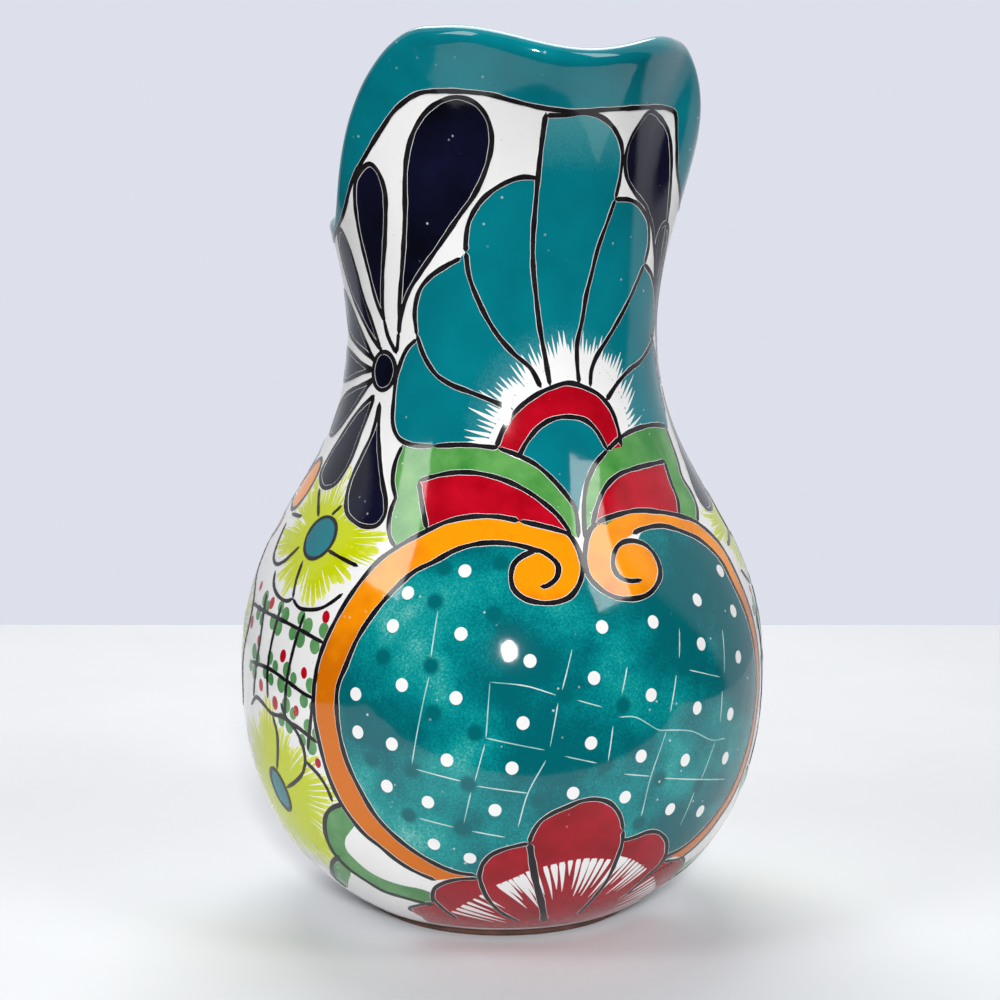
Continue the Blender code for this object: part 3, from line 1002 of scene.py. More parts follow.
def band(outer, inner, lift):
    """A film between two edges, each cut into as many even steps as the other."""
    return ribbon(even(outer, EDGE_STEPS), even(inner, EDGE_STEPS), lift, PETAL_COLUMNS)


def make_fan_flower():
    """The petals as one film, misted round its heart, the bare fringe and its spikes, the arch and lines."""
    edges = [drawn(run) for run in (FAN_LOW_PX, FAN_MID_PX, FAN_TOP_PX, FAN_SIDE_PX, FAN_CROWN_PX)]
    edges += [drawn(run) for run in (FAN_RIGHT_TOP_PX, FAN_RIGHT_MID_PX)]
    heart = trace([FAN_HEART_PX])[0]
    rim = np.vstack([edge[:-1] for edge in edges + [mirrored(drawn(FAN_LOW_PX))[::-1]]])
    edges.append(mirrored(drawn(FAN_LOW_PX[FAN_FAR_FROM:]))[::-1])
    misted = make_teal_glaze("misted_teal", on_wall(*heart)[0])
    paint_piece("fan_petals", [patch(rim, FIRST_COAT, heart)], misted)
    bare = drawn(FRINGE_PX)
    spikes = fringe(bare, drawn(FRINGE_TIPS_PX), FRINGE_SPIKES, SPIKE_HALF, SPIKE_COAT)
    paint_piece("fan_fringe", [patch(bare, FRINGE_COAT, heart)] + spikes, white_glaze)
    outer, inner = drawn(ARCH_OUTER_PX), drawn(ARCH_INNER_PX)
    paint_piece("fan_arch", [band(outer, inner, THIRD_COAT)], red_glaze)
    # The crown's side has its line among the petals' own.
    lines = edges[:3] + edges[4:] + [drawn(run) for run in PETAL_LINES_PX]
    ink("fan_flower", lines + [outer, inner, drawn(FAN_BASE_PX)])


red_glaze = make_glaze("red_glaze", (168, 2, 22), (198, 10, 36), scale=130, detail=6, speck=RED_SPECK)
make_fan_flower()

# Heart and leaves
# Under the arch a teal heart runs down between two leaves. Each leaf is green with a crimson blade laid in
# it, and their inner edges meet in the middle in a doubled line.
HEART_PX = [
    (522, 460), (526, 443), (538, 428), (553, 419), (570, 417), (586, 421), (597, 432), (607, 450),
    (593, 466), (584, 482), (580, 500), (578, 512), (566, 495), (553, 480), (536, 465), (522, 460),
]
LEFT_LEAF_PX = [
    [(403, 445), (432, 446), (466, 445), (498, 448), (519, 456), (536, 465), (553, 480), (566, 495),
     (575, 508), (577.5, 521), (578.5, 538)],
    [(578.5, 538), (566, 533), (541, 526), (519, 521), (497, 517), (471, 517), (447, 522), (427, 531),
     (396, 548)],
    [(396, 548), (390, 537), (389, 524), (391, 511), (396, 498)],
    [(396, 498), (393, 480), (396, 461), (403, 445)],
]
LEFT_BLADE_PX = [
    [(419, 481), (432, 477), (452, 473), (475, 473), (501, 479), (523, 489), (541, 501), (558, 516),
     (571, 534)],
    [(571, 534), (541, 526), (519, 521), (497, 517), (471, 517), (447, 522), (427, 530)],
    [(427, 530), (422, 503), (419, 481)],
]
RIGHT_LEAF_PX = [
    [(607, 450), (621, 437), (636, 429), (653, 425), (665, 426)],
    [(665, 426), (671, 443), (677, 460), (682, 478), (690, 491), (696, 505), (697, 522)],
    [(697, 522), (679, 515), (645, 511), (614, 517), (592, 528), (585, 540)],
    [(585, 540), (584, 520), (584, 501), (587, 482), (594, 466), (607, 450)],
]
RIGHT_BLADE_PX = [
    [(664, 461), (640, 467), (618, 475), (605, 488), (597, 506), (592, 526)],
    [(592, 526), (614, 517), (645, 511), (679, 515)],
    [(679, 515), (677, 499), (670, 481), (664, 461)],
]
LEFT_LEAF_HEART_PX = (468, 492)
RIGHT_LEAF_HEART_PX = (640, 495)
DOUBLED_HALF = 0.0006
LEFT_TOP_LINE = slice(3, 9)
LEFT_MIDDLE_LINE = slice(7, None)
RIGHT_TOP_LINE = slice(3, None)
RIGHT_MIDDLE_LINE = slice(None, 5)


def make_leaves():
    """Two leaves, a blade in each, the heart between them, and the parts of their edges that are lined."""
    leaves = [drawn(*LEFT_LEAF_PX), drawn(*RIGHT_LEAF_PX)]
    hearts = trace([LEFT_LEAF_HEART_PX, RIGHT_LEAF_HEART_PX])
    films = [patch(leaf[:-1], SECOND_COAT, heart) for leaf, heart in zip(leaves, hearts)]
    paint_piece("leaves", films, green_glaze)
    blades = [drawn(*LEFT_BLADE_PX), drawn(*RIGHT_BLADE_PX)]
    films = [patch(blade[:-1], THIRD_COAT, heart) for blade, heart in zip(blades, hearts)]
    paint_piece("leaf_blades", films, red_glaze)
    paint_piece("fan_heart", [patch(drawn(HEART_PX)[:-1], THIRD_COAT)], teal_glaze)
    left, right = LEFT_LEAF_PX[0], RIGHT_LEAF_PX[-1]
    lines = [drawn(left[LEFT_TOP_LINE]), drawn(*LEFT_LEAF_PX[2:])]
    lines += [drawn(run) for run in (*RIGHT_LEAF_PX[:2], right[RIGHT_TOP_LINE])]
    lines += [drawn(run) for blade in (LEFT_BLADE_PX, RIGHT_BLADE_PX) for run in blade[::2]]
    ink("leaf", lines)
    middle = [drawn(left[LEFT_MIDDLE_LINE]), drawn(right[RIGHT_MIDDLE_LINE])]
    ink("leaf_middle", middle, DOUBLED_HALF, margin=False)


green_glaze = make_glaze("green_glaze", (58, 138, 58), (110, 173, 93), scale=110, detail=6)
make_leaves()

# Scrolls
# Two orange bands climb round the belly from the shell below, and curl in under the leaves. Each is one broad
# brush stroke between two black lines, and the lines run on into the curl as a spiral.
SCROLL_OUTER_PX = [
    (436, 880), (415, 871), (397, 860), (380, 846), (364, 833), (342, 804), (329, 776), (321, 748),
    (315, 718), (314, 696), (316, 674), (323, 648), (334, 624), (349, 598), (366, 575), (381, 559),
    (403, 544), (427, 531), (447, 522), (471, 517), (497, 517), (519, 521), (541, 526),
]
SCROLL_INNER_PX = [
    (476, 875), (453, 871), (427, 859), (401, 841), (377, 817), (360, 789), (347, 761), (340, 735),
    (337, 709), (338, 687), (346, 666), (358, 638), (375, 612), (394, 590), (414, 572), (434, 562),
    (456, 550), (478, 544), (501, 543), (521, 546), (541, 552),
]
FAR_OUTER_PX = [
    (592, 528), (597, 523), (614, 516), (636, 511), (657, 512), (679, 516), (697, 523), (720, 545),
    (739, 581), (753, 622), (759, 672),
]
FAR_INNER_PX = [
    (623, 540), (640, 530), (662, 526), (683, 532), (701, 541), (720, 560), (731, 581), (748, 622),
    (756, 672),
]
FAR_OUTER_SHARE = 0.92
FAR_INNER_SHARE = 0.963
REPEATED_POINTS = 9
CURL_PX = [
    (541, 526), (560, 531), (569, 535), (576, 545), (582, 562), (581, 579), (571, 596), (558, 602),
    (541, 603), (523, 598), (513, 588), (511, 575), (514, 564), (523, 556), (532, 552),
]
CURL_END_PX = [(536, 550), (549, 556), (558, 566), (557, 577), (547, 586), (540, 587)]
CURL_HEART_PX = (548, 572)
FAR_CURL_PX = [
    (592, 528), (586, 543), (585, 560), (588, 575), (599, 588), (614, 597), (631, 599), (647, 595),
    (657, 584), (660, 571), (655, 556), (645, 545), (631, 541), (619, 535), (606, 525),
]
FAR_CURL_LINE_PX = [(597, 523), (590, 530)] + FAR_CURL_PX[1:13] + [
    (620, 544), (614, 553), (613, 566), (618, 576), (629, 581), (642, 580),
]
FAR_CURL_HEART_PX = (622, 565)
SCROLL_STEPS = 110
SCROLL_COLUMNS = 7
SCROLL_LINE_HALF = 0.0007
CURL_COAT = SECOND_COAT + 1e-5
FAR_LINE_FROM = 4
ORANGE_SPECK = (0.9, 0.55, 0.3)
# The orange pales with height above this level, and is deeper low on the belly.
ORANGE_CLIMB = 12
ORANGE_LEVEL = 0.097


def far_edge(seen, near, share):
    """An edge of the right band: traced as far as it shows, then the left band's own, drawn in by a share."""
    return smooth(np.vstack([trace(seen), trace(near[REPEATED_POINTS - 1::-1]) * (-share, 1)]))


def make_scrolls():
    """Both bands, as straight shares between their edges, and the discs of their curls. Returns mid-lines."""
    outer, inner = drawn(SCROLL_OUTER_PX), drawn(SCROLL_INNER_PX)
    far_outer = far_edge(FAR_OUTER_PX, SCROLL_OUTER_PX, FAR_OUTER_SHARE)
    far_inner = far_edge(FAR_INNER_PX, SCROLL_INNER_PX, FAR_INNER_SHARE)
    edges = ((outer, inner), (far_outer, far_inner))
    pairs = [(even(a, SCROLL_STEPS), even(b, SCROLL_STEPS)) for a, b in edges]
    films = [ribbon(a, b, SECOND_COAT, SCROLL_COLUMNS) for a, b in pairs]
    for curl, heart in ((CURL_PX, CURL_HEART_PX), (FAR_CURL_PX, FAR_CURL_HEART_PX)):
        films.append(patch(smooth(trace(curl), closed=True), CURL_COAT, trace([heart])[0]))
    paint_piece("scrolls", films, orange_glaze)
    lines = [drawn(SCROLL_OUTER_PX[:-1]), drawn(SCROLL_OUTER_PX[-2:] + CURL_PX[1:] + CURL_END_PX), inner]
    lines += [far_outer[FAR_LINE_FROM:], far_inner[FAR_LINE_FROM:], drawn(FAR_CURL_LINE_PX)]
    ink("scroll", lines, SCROLL_LINE_HALF)
    return [(a + b) / 2 for a, b in pairs]


orange_glaze = make_glaze(
    "orange_glaze", (214, 112, 2), (253, 153, 6), scale=90, detail=4, speck=ORANGE_SPECK,
    climb=ORANGE_CLIMB, level=ORANGE_LEVEL,
)
scroll_middles = make_scrolls()

# Medallion
# Between the scrolls the belly is washed with sea green, sponged thin in clouds. Darker dots sit where a
# net of scratched lines crosses, and a raised white dot in each mesh.
FIELD_TOP_PX = [(640, 535), (628, 560), (615, 575), (583, 572), (548, 575), (535, 545), (510, 530)]
FIELD_HEART_PX = (540, 690)
FIELD_POINTS = 301
FIELD_LEFT_CUT = 18
FIELD_RIGHT_CUT = 14
DOTS_PX = [
    (465, 571), (408, 593), (393, 626), (461, 634), (356, 694), (402, 685), (456, 698), (358, 732),
    (392, 744), (447, 760), (387, 786), (428, 802), (434, 844), (470, 858), (495, 810), (720, 571),
    (697, 600), (602, 627), (653, 622), (733, 611), (701, 644), (738, 657), (530, 661), (594, 678),
    (651, 695), (697, 708), (730, 714), (523, 723), (591, 743), (641, 756), (685, 760), (725, 758),
    (512, 768), (573, 793), (625, 797), (670, 809), (700, 811),
]
DOT_SIZE = (0.0017, 0.0018)
DOT_SIDES = 22
DARK_DOTS_PX = [
    (444, 568), (501, 563), (435, 602), (494, 614), (383, 657), (431, 666), (372, 710), (433, 713),
    (372, 759), (412, 770), (409, 815), (468, 784), (462, 828), (475, 733), (679, 619), (721, 622),
    (684, 667), (725, 675), (623, 705), (565, 695), (554, 754), (605, 764), (539, 800), (659, 779),
    (698, 786), (639, 823),
]
DARK_DOT_SIZE = (0.0030, 0.0030)
DARK_DOT_SIDES = 28
SCRATCHES_PX = [
    [(438, 611), (431, 657)], [(429, 677), (419, 723), (412, 764)], [(416, 769), (461, 781)],
    [(477, 786), (528, 793)], [(471, 792), (464, 823)], [(419, 818), (454, 827)],
    [(472, 831), (505, 837)], [(485, 744), (475, 781)], [(490, 682), (526, 686), (556, 695)],
    [(490, 682), (486, 738)], [(486, 738), (545, 750)], [(558, 703), (550, 747)],
    [(546, 760), (528, 793), (518, 827)], [(572, 649), (562, 690)], [(627, 667), (622, 693)],
    [(577, 700), (602, 707)],
    [(619, 717), (635, 717), (659, 730), (668, 730), (691, 731), (712, 740), (725, 738)],
    [(666, 731), (650, 779), (641, 816)], [(715, 741), (701, 779)], [(664, 778), (725, 779)],
    [(676, 675), (670, 713)], [(679, 628), (679, 658)], [(689, 670), (720, 677)],
    [(722, 630), (724, 673)], [(722, 691), (720, 722)], [(564, 756), (597, 763)],
    [(613, 726), (608, 761)], [(624, 774), (650, 776)], [(694, 792), (680, 825)],
]
SCRATCH_HALF = 0.00015
SCRATCH_DEEP = (120, 190, 188)
SCRATCH_THIN = (226, 238, 236)
SPONGE_HEART_PX = (455, 750)
SPONGE_FALL = -2.0
SPONGE_LIFT = -0.195
SPONGE_CLOUDS = 1.4
SPONGE_SCALE = 36
SPONGE_DETAIL = 3
SPONGE_ROUGHNESS = 0.55
GRAIN_SCALE = 1700
GRAIN_SHARE = 0.42
SEA_TONES = [
    (0.30, (0, 98, 106)), (0.46, (0, 122, 127)), (0.58, (8, 144, 144)), (0.68, (40, 158, 155)),
    (0.85, (120, 194, 187)),
]
DARK_SEA = (0, 100, 106)
DARK_FADE = [(0.52, (0, 0, 0)), (0.95, (1, 1, 1))]


def along_film(tree):
    """Share of the way along or out of a film, which the first number of its paint place gives."""
    place = node(tree, "ShaderNodeUVMap", uv_map="Paint").outputs["UV"]
    return node(tree, "ShaderNodeSeparateXYZ", {"Vector": place}).outputs["X"]


def make_sea_glaze(name, dotted=False):
    """Sponged sea green: broad clouds roughened by fine grain. A dotted one is dark at the heart of its film,
    and reaches the clouds' own colour at the film's edge."""
    finish, tree, shader, place = new_finish(name)
    grain = scaled(tree, noise(tree, place, GRAIN_SCALE, detail=1), GRAIN_SHARE, -GRAIN_SHARE / 2)
    cloud = noise(tree, place, SPONGE_SCALE, SPONGE_DETAIL, SPONGE_ROUGHNESS)
    heart, _ = on_wall(*trace([SPONGE_HEART_PX])[0])
    thin = scaled(tree, away_from(tree, place, heart), SPONGE_FALL, SPONGE_LIFT)
    both = scaled(tree, scaled(tree, cloud, SPONGE_CLOUDS, grain), 1, thin)
    colour = ramp(tree, both, tones(SEA_TONES))
    if dotted:
        clear = ramp(tree, along_film(tree), DARK_FADE)
        colour = mix(tree, clear, (*glaze_colour(*DARK_SEA), 1), colour)
    glaze_gloss(tree, shader, place, specks(tree, place, colour))
    return finish


def make_medallion():
    """The field between the scrolls' mid-lines, with its dark dots, its scratched net and its white dots."""
    left, right = scroll_middles
    top = drawn(FIELD_TOP_PX)[::-1]
    field = np.vstack([left[:-FIELD_LEFT_CUT], top, right[FIELD_RIGHT_CUT:], left[:1]])
    field = patch(even(field, FIELD_POINTS)[:-1], FIRST_COAT, trace([FIELD_HEART_PX])[0])
    paint_piece("medallion", [field], make_sea_glaze("sea_glaze"))
    dark = [oval(place, DARK_DOT_SIZE, sides=DARK_DOT_SIDES) for place in trace(DARK_DOTS_PX)]
    dark_sea = make_sea_glaze("sea_glaze_dots", dotted=True)
    paint_piece("dark_dots", [patch(dot, SECOND_COAT) for dot in dark], dark_sea)
    scratches = [drawn(run) for run in SCRATCHES_PX]
    fine = [strip(path, brushed(path, SCRATCH_HALF), THIRD_COAT, 2) for path in scratches]
    scratch_white = make_glaze("scratch_white", SCRATCH_DEEP, SCRATCH_THIN, scale=70)
    paint_piece("scratches", fine, scratch_white)
    dots = [patch(oval(place, DOT_SIZE, sides=DOT_SIDES), MARGIN_COAT) for place in trace(DOTS_PX)]
    paint_piece("white_dots", dots, white_glaze)


make_medallion()

# Shell flower
# A red flower like a scallop shell rises from the foot at the front, over the ends of both scrolls. Its lobes
# pale to white streaks where the brush lifted, and black lines part them.
SHELL_PX = [
    [(412, 911), (410, 908), (419, 904.7), (433, 902)],
    [(433, 902), (434, 889), (445, 882), (460, 878.7), (478, 878)],
    [(478, 878), (482, 865), (490.6, 855), (503.6, 849), (519, 845), (529, 843)],
    [(529, 843), (532, 834), (540.5, 821), (553.5, 812.5), (568.6, 806), (581.6, 800.6), (597, 799),
     (610, 803), (619.6, 814.7), (623, 830)],
    [(623, 830), (623, 839), (634, 837), (647, 832), (657.5, 832), (666, 841), (666, 852), (664, 861)],
    [(664, 861), (673, 860), (680, 858.5)],
]
SHELL_LINES_PX = [
    [(623, 830), (621.8, 843), (616, 860), (605.5, 882), (590, 901), (577, 914)],
    [(482, 865), (479.7, 875.4), (482, 886), (488.4, 899), (501.4, 912), (519, 921)],
    [(434, 889), (433, 897), (443, 908), (458, 919)],
    [(666, 841), (665.8, 851.6), (659.7, 863.5), (644.5, 877.6), (625, 895)],
]
SHELL_MIDDLE_PX = [(529.6, 843), (532, 860), (536, 882), (541.5, 903.6), (543.7, 921)]
SHELL_STREAKS_PX = [
    [(452, 911), (466.7, 902.5), (480, 895)],
    [(498, 884), (519, 875.4), (533, 868)],
    [(545, 866), (571, 860), (588, 858), (609, 859)],
    [(621, 856), (631.5, 859), (646, 868)],
]
STREAKS = (6, 7, 9, 8)
STREAK_HALF = 0.0010
SHELL_ROOT_PX = (548, 935)
SHELL_HEART = (0.0, 0.012)
SHELL_LOW = BASE_Z + 0.0013
SHELL_LOW_POINTS = 70
SHELL_FAR_POINTS = 12
# The shell's red is the red glaze's own, deepened as painted shade for the low belly that faces down.
SHELL_SHADED_DEEP = (142, 2, 18)
SHELL_SHADED_THIN = (170, 8, 32)
SHELL_SHADED_SPECK = (0.55, 0.12, 0.13)
SHELL_LINE_HALF = 0.0006
SHELL_MIDDLE_HALF = 0.00095
STREAK_REACH = (0.15, 0.50)
STREAK_SIZES = (0.55, 1.15)
STREAK_COAT = (THIRD_COAT + MARGIN_COAT) / 2


def make_shell():
    """The red fan inside its lobed edge, closed along the foot, with white streaks that run to one root."""
    edges = [drawn(run) for run in SHELL_PX]
    edges.append(mirrored(np.vstack([edges[0], edges[1][:SHELL_FAR_POINTS]]))[::-1])
    foot = np.linspace(edges[-1][-1, 0], edges[0][0, 0], SHELL_LOW_POINTS)
    edges.append(np.stack([foot, np.full(SHELL_LOW_POINTS, SHELL_LOW)], axis=1))
    rim = np.vstack([edge[:-1] for edge in edges])
    # The red glaze deepened as painted shade, with darker specks.
    shaded_shell_glaze = make_glaze("shaded_shell_glaze", SHELL_SHADED_DEEP, SHELL_SHADED_THIN, scale=130, detail=6, speck=SHELL_SHADED_SPECK)
    paint_piece("shell_lobes", [patch(rim, THIRD_COAT, SHELL_HEART)], shaded_shell_glaze)
    root = trace([SHELL_ROOT_PX])[0]
    tops = [even(drawn(run), count) for run, count in zip(SHELL_STREAKS_PX, STREAKS)]
    tops.append(mirrored(tops[0]))
    starts = np.vstack(tops)
    ends = starts + brush.uniform(*STREAK_REACH, (len(starts), 1)) * (root - starts)
    halves = STREAK_HALF * brush.uniform(*STREAK_SIZES, len(starts))
    streaks = [spike(a, b, half, STREAK_COAT) for a, b, half in zip(starts, ends, halves)]
    paint_piece("shell_streaks", streaks, white_glaze)
    lines = [drawn(run) for run in SHELL_LINES_PX]
    ink("shell", edges[:-1] + lines + [mirrored(lines[2])], SHELL_LINE_HALF)
    ink("shell_middle", [drawn(SHELL_MIDDLE_PX)], SHELL_MIDDLE_HALF)


make_shell()

# Foot leaves
# On each side of the shell a green tendril runs along the foot and curls up against the scroll, with a small
# leaf under it. They are loose strokes, lined in black along the outer edge only.
TENDRIL_OUTER_PX = [
    (342.8, 804), (332.8, 807.5), (326, 815.8), (325, 829), (327.8, 840.7), (336, 855.6), (349.4, 869),
    (366, 880.5), (382.6, 890.4), (402.5, 897), (434, 905),
]
TENDRIL_INNER_PX = [
    (354.4, 814), (355, 824), (349.4, 832.4), (345.3, 839), (346, 849), (354.4, 859), (367.6, 870.5),
    (382.6, 878.8), (402.5, 885.4), (420, 888.8), (432, 893),
]
BUD_PX = [
    (339.5, 855.6), (332.8, 862), (332, 870.5), (336, 878.8), (346, 887), (348.6, 880.5), (351, 872),
    (350, 867),
]
BUD_LINE_POINTS = 5


def both_flanks(paths):
    """Paths on the left flank, and the same on the right."""
    return paths + [mirrored(path) for path in paths]


def make_foot_leaves():
    """A tendril between two traced edges and a bud, on each side."""
    outer, bud = drawn(TENDRIL_OUTER_PX), smooth(trace(BUD_PX), closed=True)
    sides = zip(*(both_flanks([path]) for path in (outer, drawn(TENDRIL_INNER_PX), bud)))
    films = [film for a, b, c in sides for film in (band(a, b, FIRST_COAT), patch(c, FIRST_COAT))]
    paint_piece("foot_leaves", films, moss_glaze)
    ink("foot_leaf", both_flanks([outer, drawn(BUD_PX[:BUD_LINE_POINTS])]), margin=False)


moss_glaze = make_glaze("moss_glaze", (72, 134, 78), (108, 164, 104), scale=120)
make_foot_leaves()

# Lime flowers
# Two on each flank of the belly, one over the other. They are loose strokes, brushed outwards from a teal
# heart until the brush ran dry, so that they pale towards the tips, and were then lined sparsely in black.
LIME_HEART_PX = (319.8, 537.8)
LOW_LIME_HEART_PX = (280, 789)
LIME_EDGE_PX = [
    (322, 460), (328, 482), (350, 464), (346, 492), (372, 512), (389, 530), (391, 545), (381, 562),
    (361, 568), (352, 586), (339, 597), (321, 605), (303, 602), (296, 586), (288, 599), (278, 594),
    (275, 580), (283, 563), (275, 558), (279, 539), (287, 524), (301, 517), (297, 506), (308, 488),
    (316, 473),
]
LIME_HEART_SIZE = (0.0062, 0.0062)
LIME_HEART_TILT = 0.35
LOW_LIME_HEART_SIZE = (0.0042, 0.0062)
LOW_LIME_REACH = 0.0255
LIME_LOBES = 5
LIME_STROKES = 84
LIME_HALF = 0.00125
LIME_STREAKS = 70
LIME_STREAK_HALF = 0.00045
LIME_LINE_HALF = 0.00052
LOBE_POINTS = 120
LOBE_SWELL = 0.10
STROKE_START = 0.25
STROKE_REACH = (0.78, 1.06)
STROKE_SIZES = (0.7, 1.2)
STROKE_LIFT = 0.36
STROKE_LIFT_RANGE = 0.34
ROOT_SHARE = 0.62
ROOT_LIFT = 0.30
BARE_START = 1.04
BARE_REACH = (0.45, 0.8)
BARE_SIZES = (0.5, 1.2)
BARE_LIFT = 0.85
DRY_STREAK_SCALE = 420
DRY_STREAK_SHARE = 0.5
DRY_STOPS = (0.68, 0.93, 1.0)
FINGER_STEPS = 12
FINGER_SHARES = (0, 0.5, 0.85, 0.96, 1)
FINGER_WIDTHS = (0.6, 0.9, 1, 0.7, 0.15)
LIME_LINES_PX = [
    [(318.8, 516.6), (319.8, 488.7)], [(332, 515), (342, 505.6)], [(328.3, 550.3), (358.4, 566.4)],
    [(303.4, 560.6), (296.8, 579.6), (293, 598.7)],
    [(293, 598.7), (299, 607.5), (307.8, 609.7), (321, 608.3), (332.7, 601.7), (343, 593.6)],
    [(275.5, 570.8), (274, 584), (278.4, 595.8), (287.2, 601), (293, 598.7)],
    [(286.5, 523), (278.4, 541.5), (274, 556), (277, 564.2), (284.3, 561.3), (291.6, 554.7),
     (299.7, 546.6)],
    [(292.4, 513.6), (301.9, 516.6)],
]
LOW_LIME_LINES_PX = [
    [(251.6, 704.7), (256.5, 697), (263, 703), (271.5, 713), (284.7, 718), (296.3, 731), (303, 746),
     (305.5, 761), (303, 772.7), (296.3, 781), (287, 787.6)],
    [(273, 716), (277.3, 733), (278, 752.8), (277.3, 769.4)],
    [(306, 761), (319.6, 776), (327.8, 789.3), (332.8, 801.7)],
]


def lobed(centre, reach):
    """A flower's edge on the wall: a circle that swells once for each lobe, by a cosine."""
    turn = np.linspace(0, 2 * math.pi, LOBE_POINTS, endpoint=False)
    far = reach * (1 + LOBE_SWELL * np.cos(LIME_LOBES * turn))
    return spread(centre, np.stack([far * np.sin(turn), far * np.cos(turn)], axis=1))


def finger(base, tip, half, lift):
    """A short stroke of a round brush: a straight line, widest near its rounded tip."""
    return spike(base, tip, half, lift, FINGER_STEPS, FINGER_SHARES, FINGER_WIDTHS)


def swings(centre, edge, count):
    """Ways from a centre to places spaced evenly round an edge."""
    return even(np.vstack([edge, edge[:1]]), count + 1)[:-1] - centre


def sunburst(centre, edge):
    """Strokes from a centre towards an edge, each of its own length, over a patch that fills their roots."""
    swing = swings(centre, edge, LIME_STROKES)
    tips = centre + brush.uniform(*STROKE_REACH, (LIME_STROKES, 1)) * swing
    order = brush.permutation(LIME_STROKES) / LIME_STROKES
    lifts = FIRST_COAT * (STROKE_LIFT + STROKE_LIFT_RANGE * order)
    halves = LIME_HALF * brush.uniform(*STROKE_SIZES, LIME_STROKES)
    films = [finger(*stroke) for stroke in zip(centre + STROKE_START * swing, tips, halves, lifts)]
    return films + [patch(centre + ROOT_SHARE * swing, ROOT_LIFT * FIRST_COAT, centre)]


def bare_streaks(centre, edge):
    """Fine lines from an edge in towards a centre, where the brush's hairs parted."""
    swing = swings(centre, edge, LIME_STREAKS)
    starts = centre + BARE_START * swing
    ends = centre + brush.uniform(*BARE_REACH, (LIME_STREAKS, 1)) * swing
    halves = LIME_STREAK_HALF * brush.uniform(*BARE_SIZES, LIME_STREAKS)
    return [spike(a, b, half, BARE_LIFT * FIRST_COAT) for a, b, half in zip(starts, ends, halves)]


def make_dry_glaze(name, wet, dry):
    """A colour that pales along its stroke, from the wet end to the dry, in streaks."""
    finish, tree, shader, place = new_finish(name)
    streak = noise(tree, place, DRY_STREAK_SCALE, detail=3)
    uneven = scaled(tree, streak, DRY_STREAK_SHARE, -DRY_STREAK_SHARE / 2)
    worn = scaled(tree, along_film(tree), 1, uneven)
    half = (np.array(wet) + np.array(dry)) / 2
    glaze_gloss(tree, shader, place, ramp(tree, worn, tones(zip(DRY_STOPS, (wet, half, dry)))))
    return finish


def make_lime_flowers():
    """Strokes and bare streaks of each flower in turn, then the hearts, and the lines."""
    hearts = trace([LIME_HEART_PX, LOW_LIME_HEART_PX])
    edges = [smooth(trace(LIME_EDGE_PX), closed=True), lobed(hearts[1], LOW_LIME_REACH)]
    strokes, streaks = [], []
    for heart, edge in zip(both_flanks(list(hearts)), both_flanks(edges)):
        strokes += sunburst(heart, edge)
        streaks += bare_streaks(heart, edge)
    paint_piece("lime_strokes", strokes, lime_glaze)
    paint_piece("lime_streaks", streaks, white_glaze)
    eyes = both_flanks([
        oval(hearts[0], LIME_HEART_SIZE, LIME_HEART_TILT),
        oval(hearts[1], LOW_LIME_HEART_SIZE, -LIME_HEART_TILT),
    ])
    paint_piece("lime_hearts", [patch(eye, THIRD_COAT) for eye in eyes], teal_glaze)
    lines = both_flanks([drawn(run) for run in LIME_LINES_PX + LOW_LIME_LINES_PX])
    ink("lime", lines, LIME_LINE_HALF, eyes, margin=False)


lime_glaze = make_dry_glaze("lime_glaze", (200, 212, 6), (236, 240, 160))
make_lime_flowers()

# Lattice
# Between the lime flowers a net of black lines. Four green dots ring each crossing, and a red dot fills
# each mesh. It is dabbed with a brush tip, so that dots and lines are uneven.
LATTICE_PX = [
    [(254, 603), (278, 618), (299, 629), (324, 643)],
    [(252, 661), (270, 669), (287, 681), (305, 694), (313, 698)],
    [(281, 703), (287, 719), (299, 728), (318, 743)], [(267, 594), (261, 635), (254, 696)],
    [(282, 605), (268, 669), (268, 698)], [(305, 613), (287, 682), (285, 716)],
    [(323, 644), (311, 719), (308, 750)],
]
LATTICE_HALF = 0.00052
CROSSINGS_PX = [
    (263, 609), (279, 618), (300, 629), (323, 642), (254, 662), (270, 669), (287, 681), (311, 697),
    (287, 716), (309, 737),
]
GREEN_DOTS = ((-0.0003, 0.0030), (0.0029, 0.0012), (-0.0029, -0.0015), (0.0008, -0.0027))
GREEN_DOT_SIZE = (0.0017, 0.0020)
RED_DOTS_PX = [
    (326, 617), (283, 656), (304, 673), (259, 641), (252, 622), (261, 685), (275, 703), (296, 711),
    (318, 763), (272, 603), (261, 586),
]
RED_DOT_SIZE = (0.0013, 0.0017)
DAB_SIZES = (0.82, 1.18)
DAB_LEANS = (-0.3, 0.3)
DAB_SIDES = 14


def dabs(places, size, lift):
    """Small ovals at places on the wall, each of a slightly different size and lean."""
    sizes = np.array(size) * brush.uniform(*DAB_SIZES, (len(places), 1))
    leans = brush.uniform(*DAB_LEANS, len(places))
    return [patch(oval(*dab, DAB_SIDES), lift) for dab in zip(places, sizes, leans)]


def make_lattice():
    """Green dots round each crossing, red ones in the meshes, and the net's lines, on each flank."""
    greens = np.vstack([spread(crossing, np.array(GREEN_DOTS)) for crossing in trace(CROSSINGS_PX)])
    greens, reds = (np.vstack(both_flanks([places])) for places in (greens, trace(RED_DOTS_PX)))
    paint_piece("green_dots", dabs(greens, GREEN_DOT_SIZE, FIRST_COAT), moss_glaze)
    paint_piece("red_dots", dabs(reds, RED_DOT_SIZE, FIRST_COAT), red_glaze)
    lines = both_flanks([drawn(run) for run in LATTICE_PX])
    ink("lattice", lines, LATTICE_HALF, margin=False)


make_lattice()

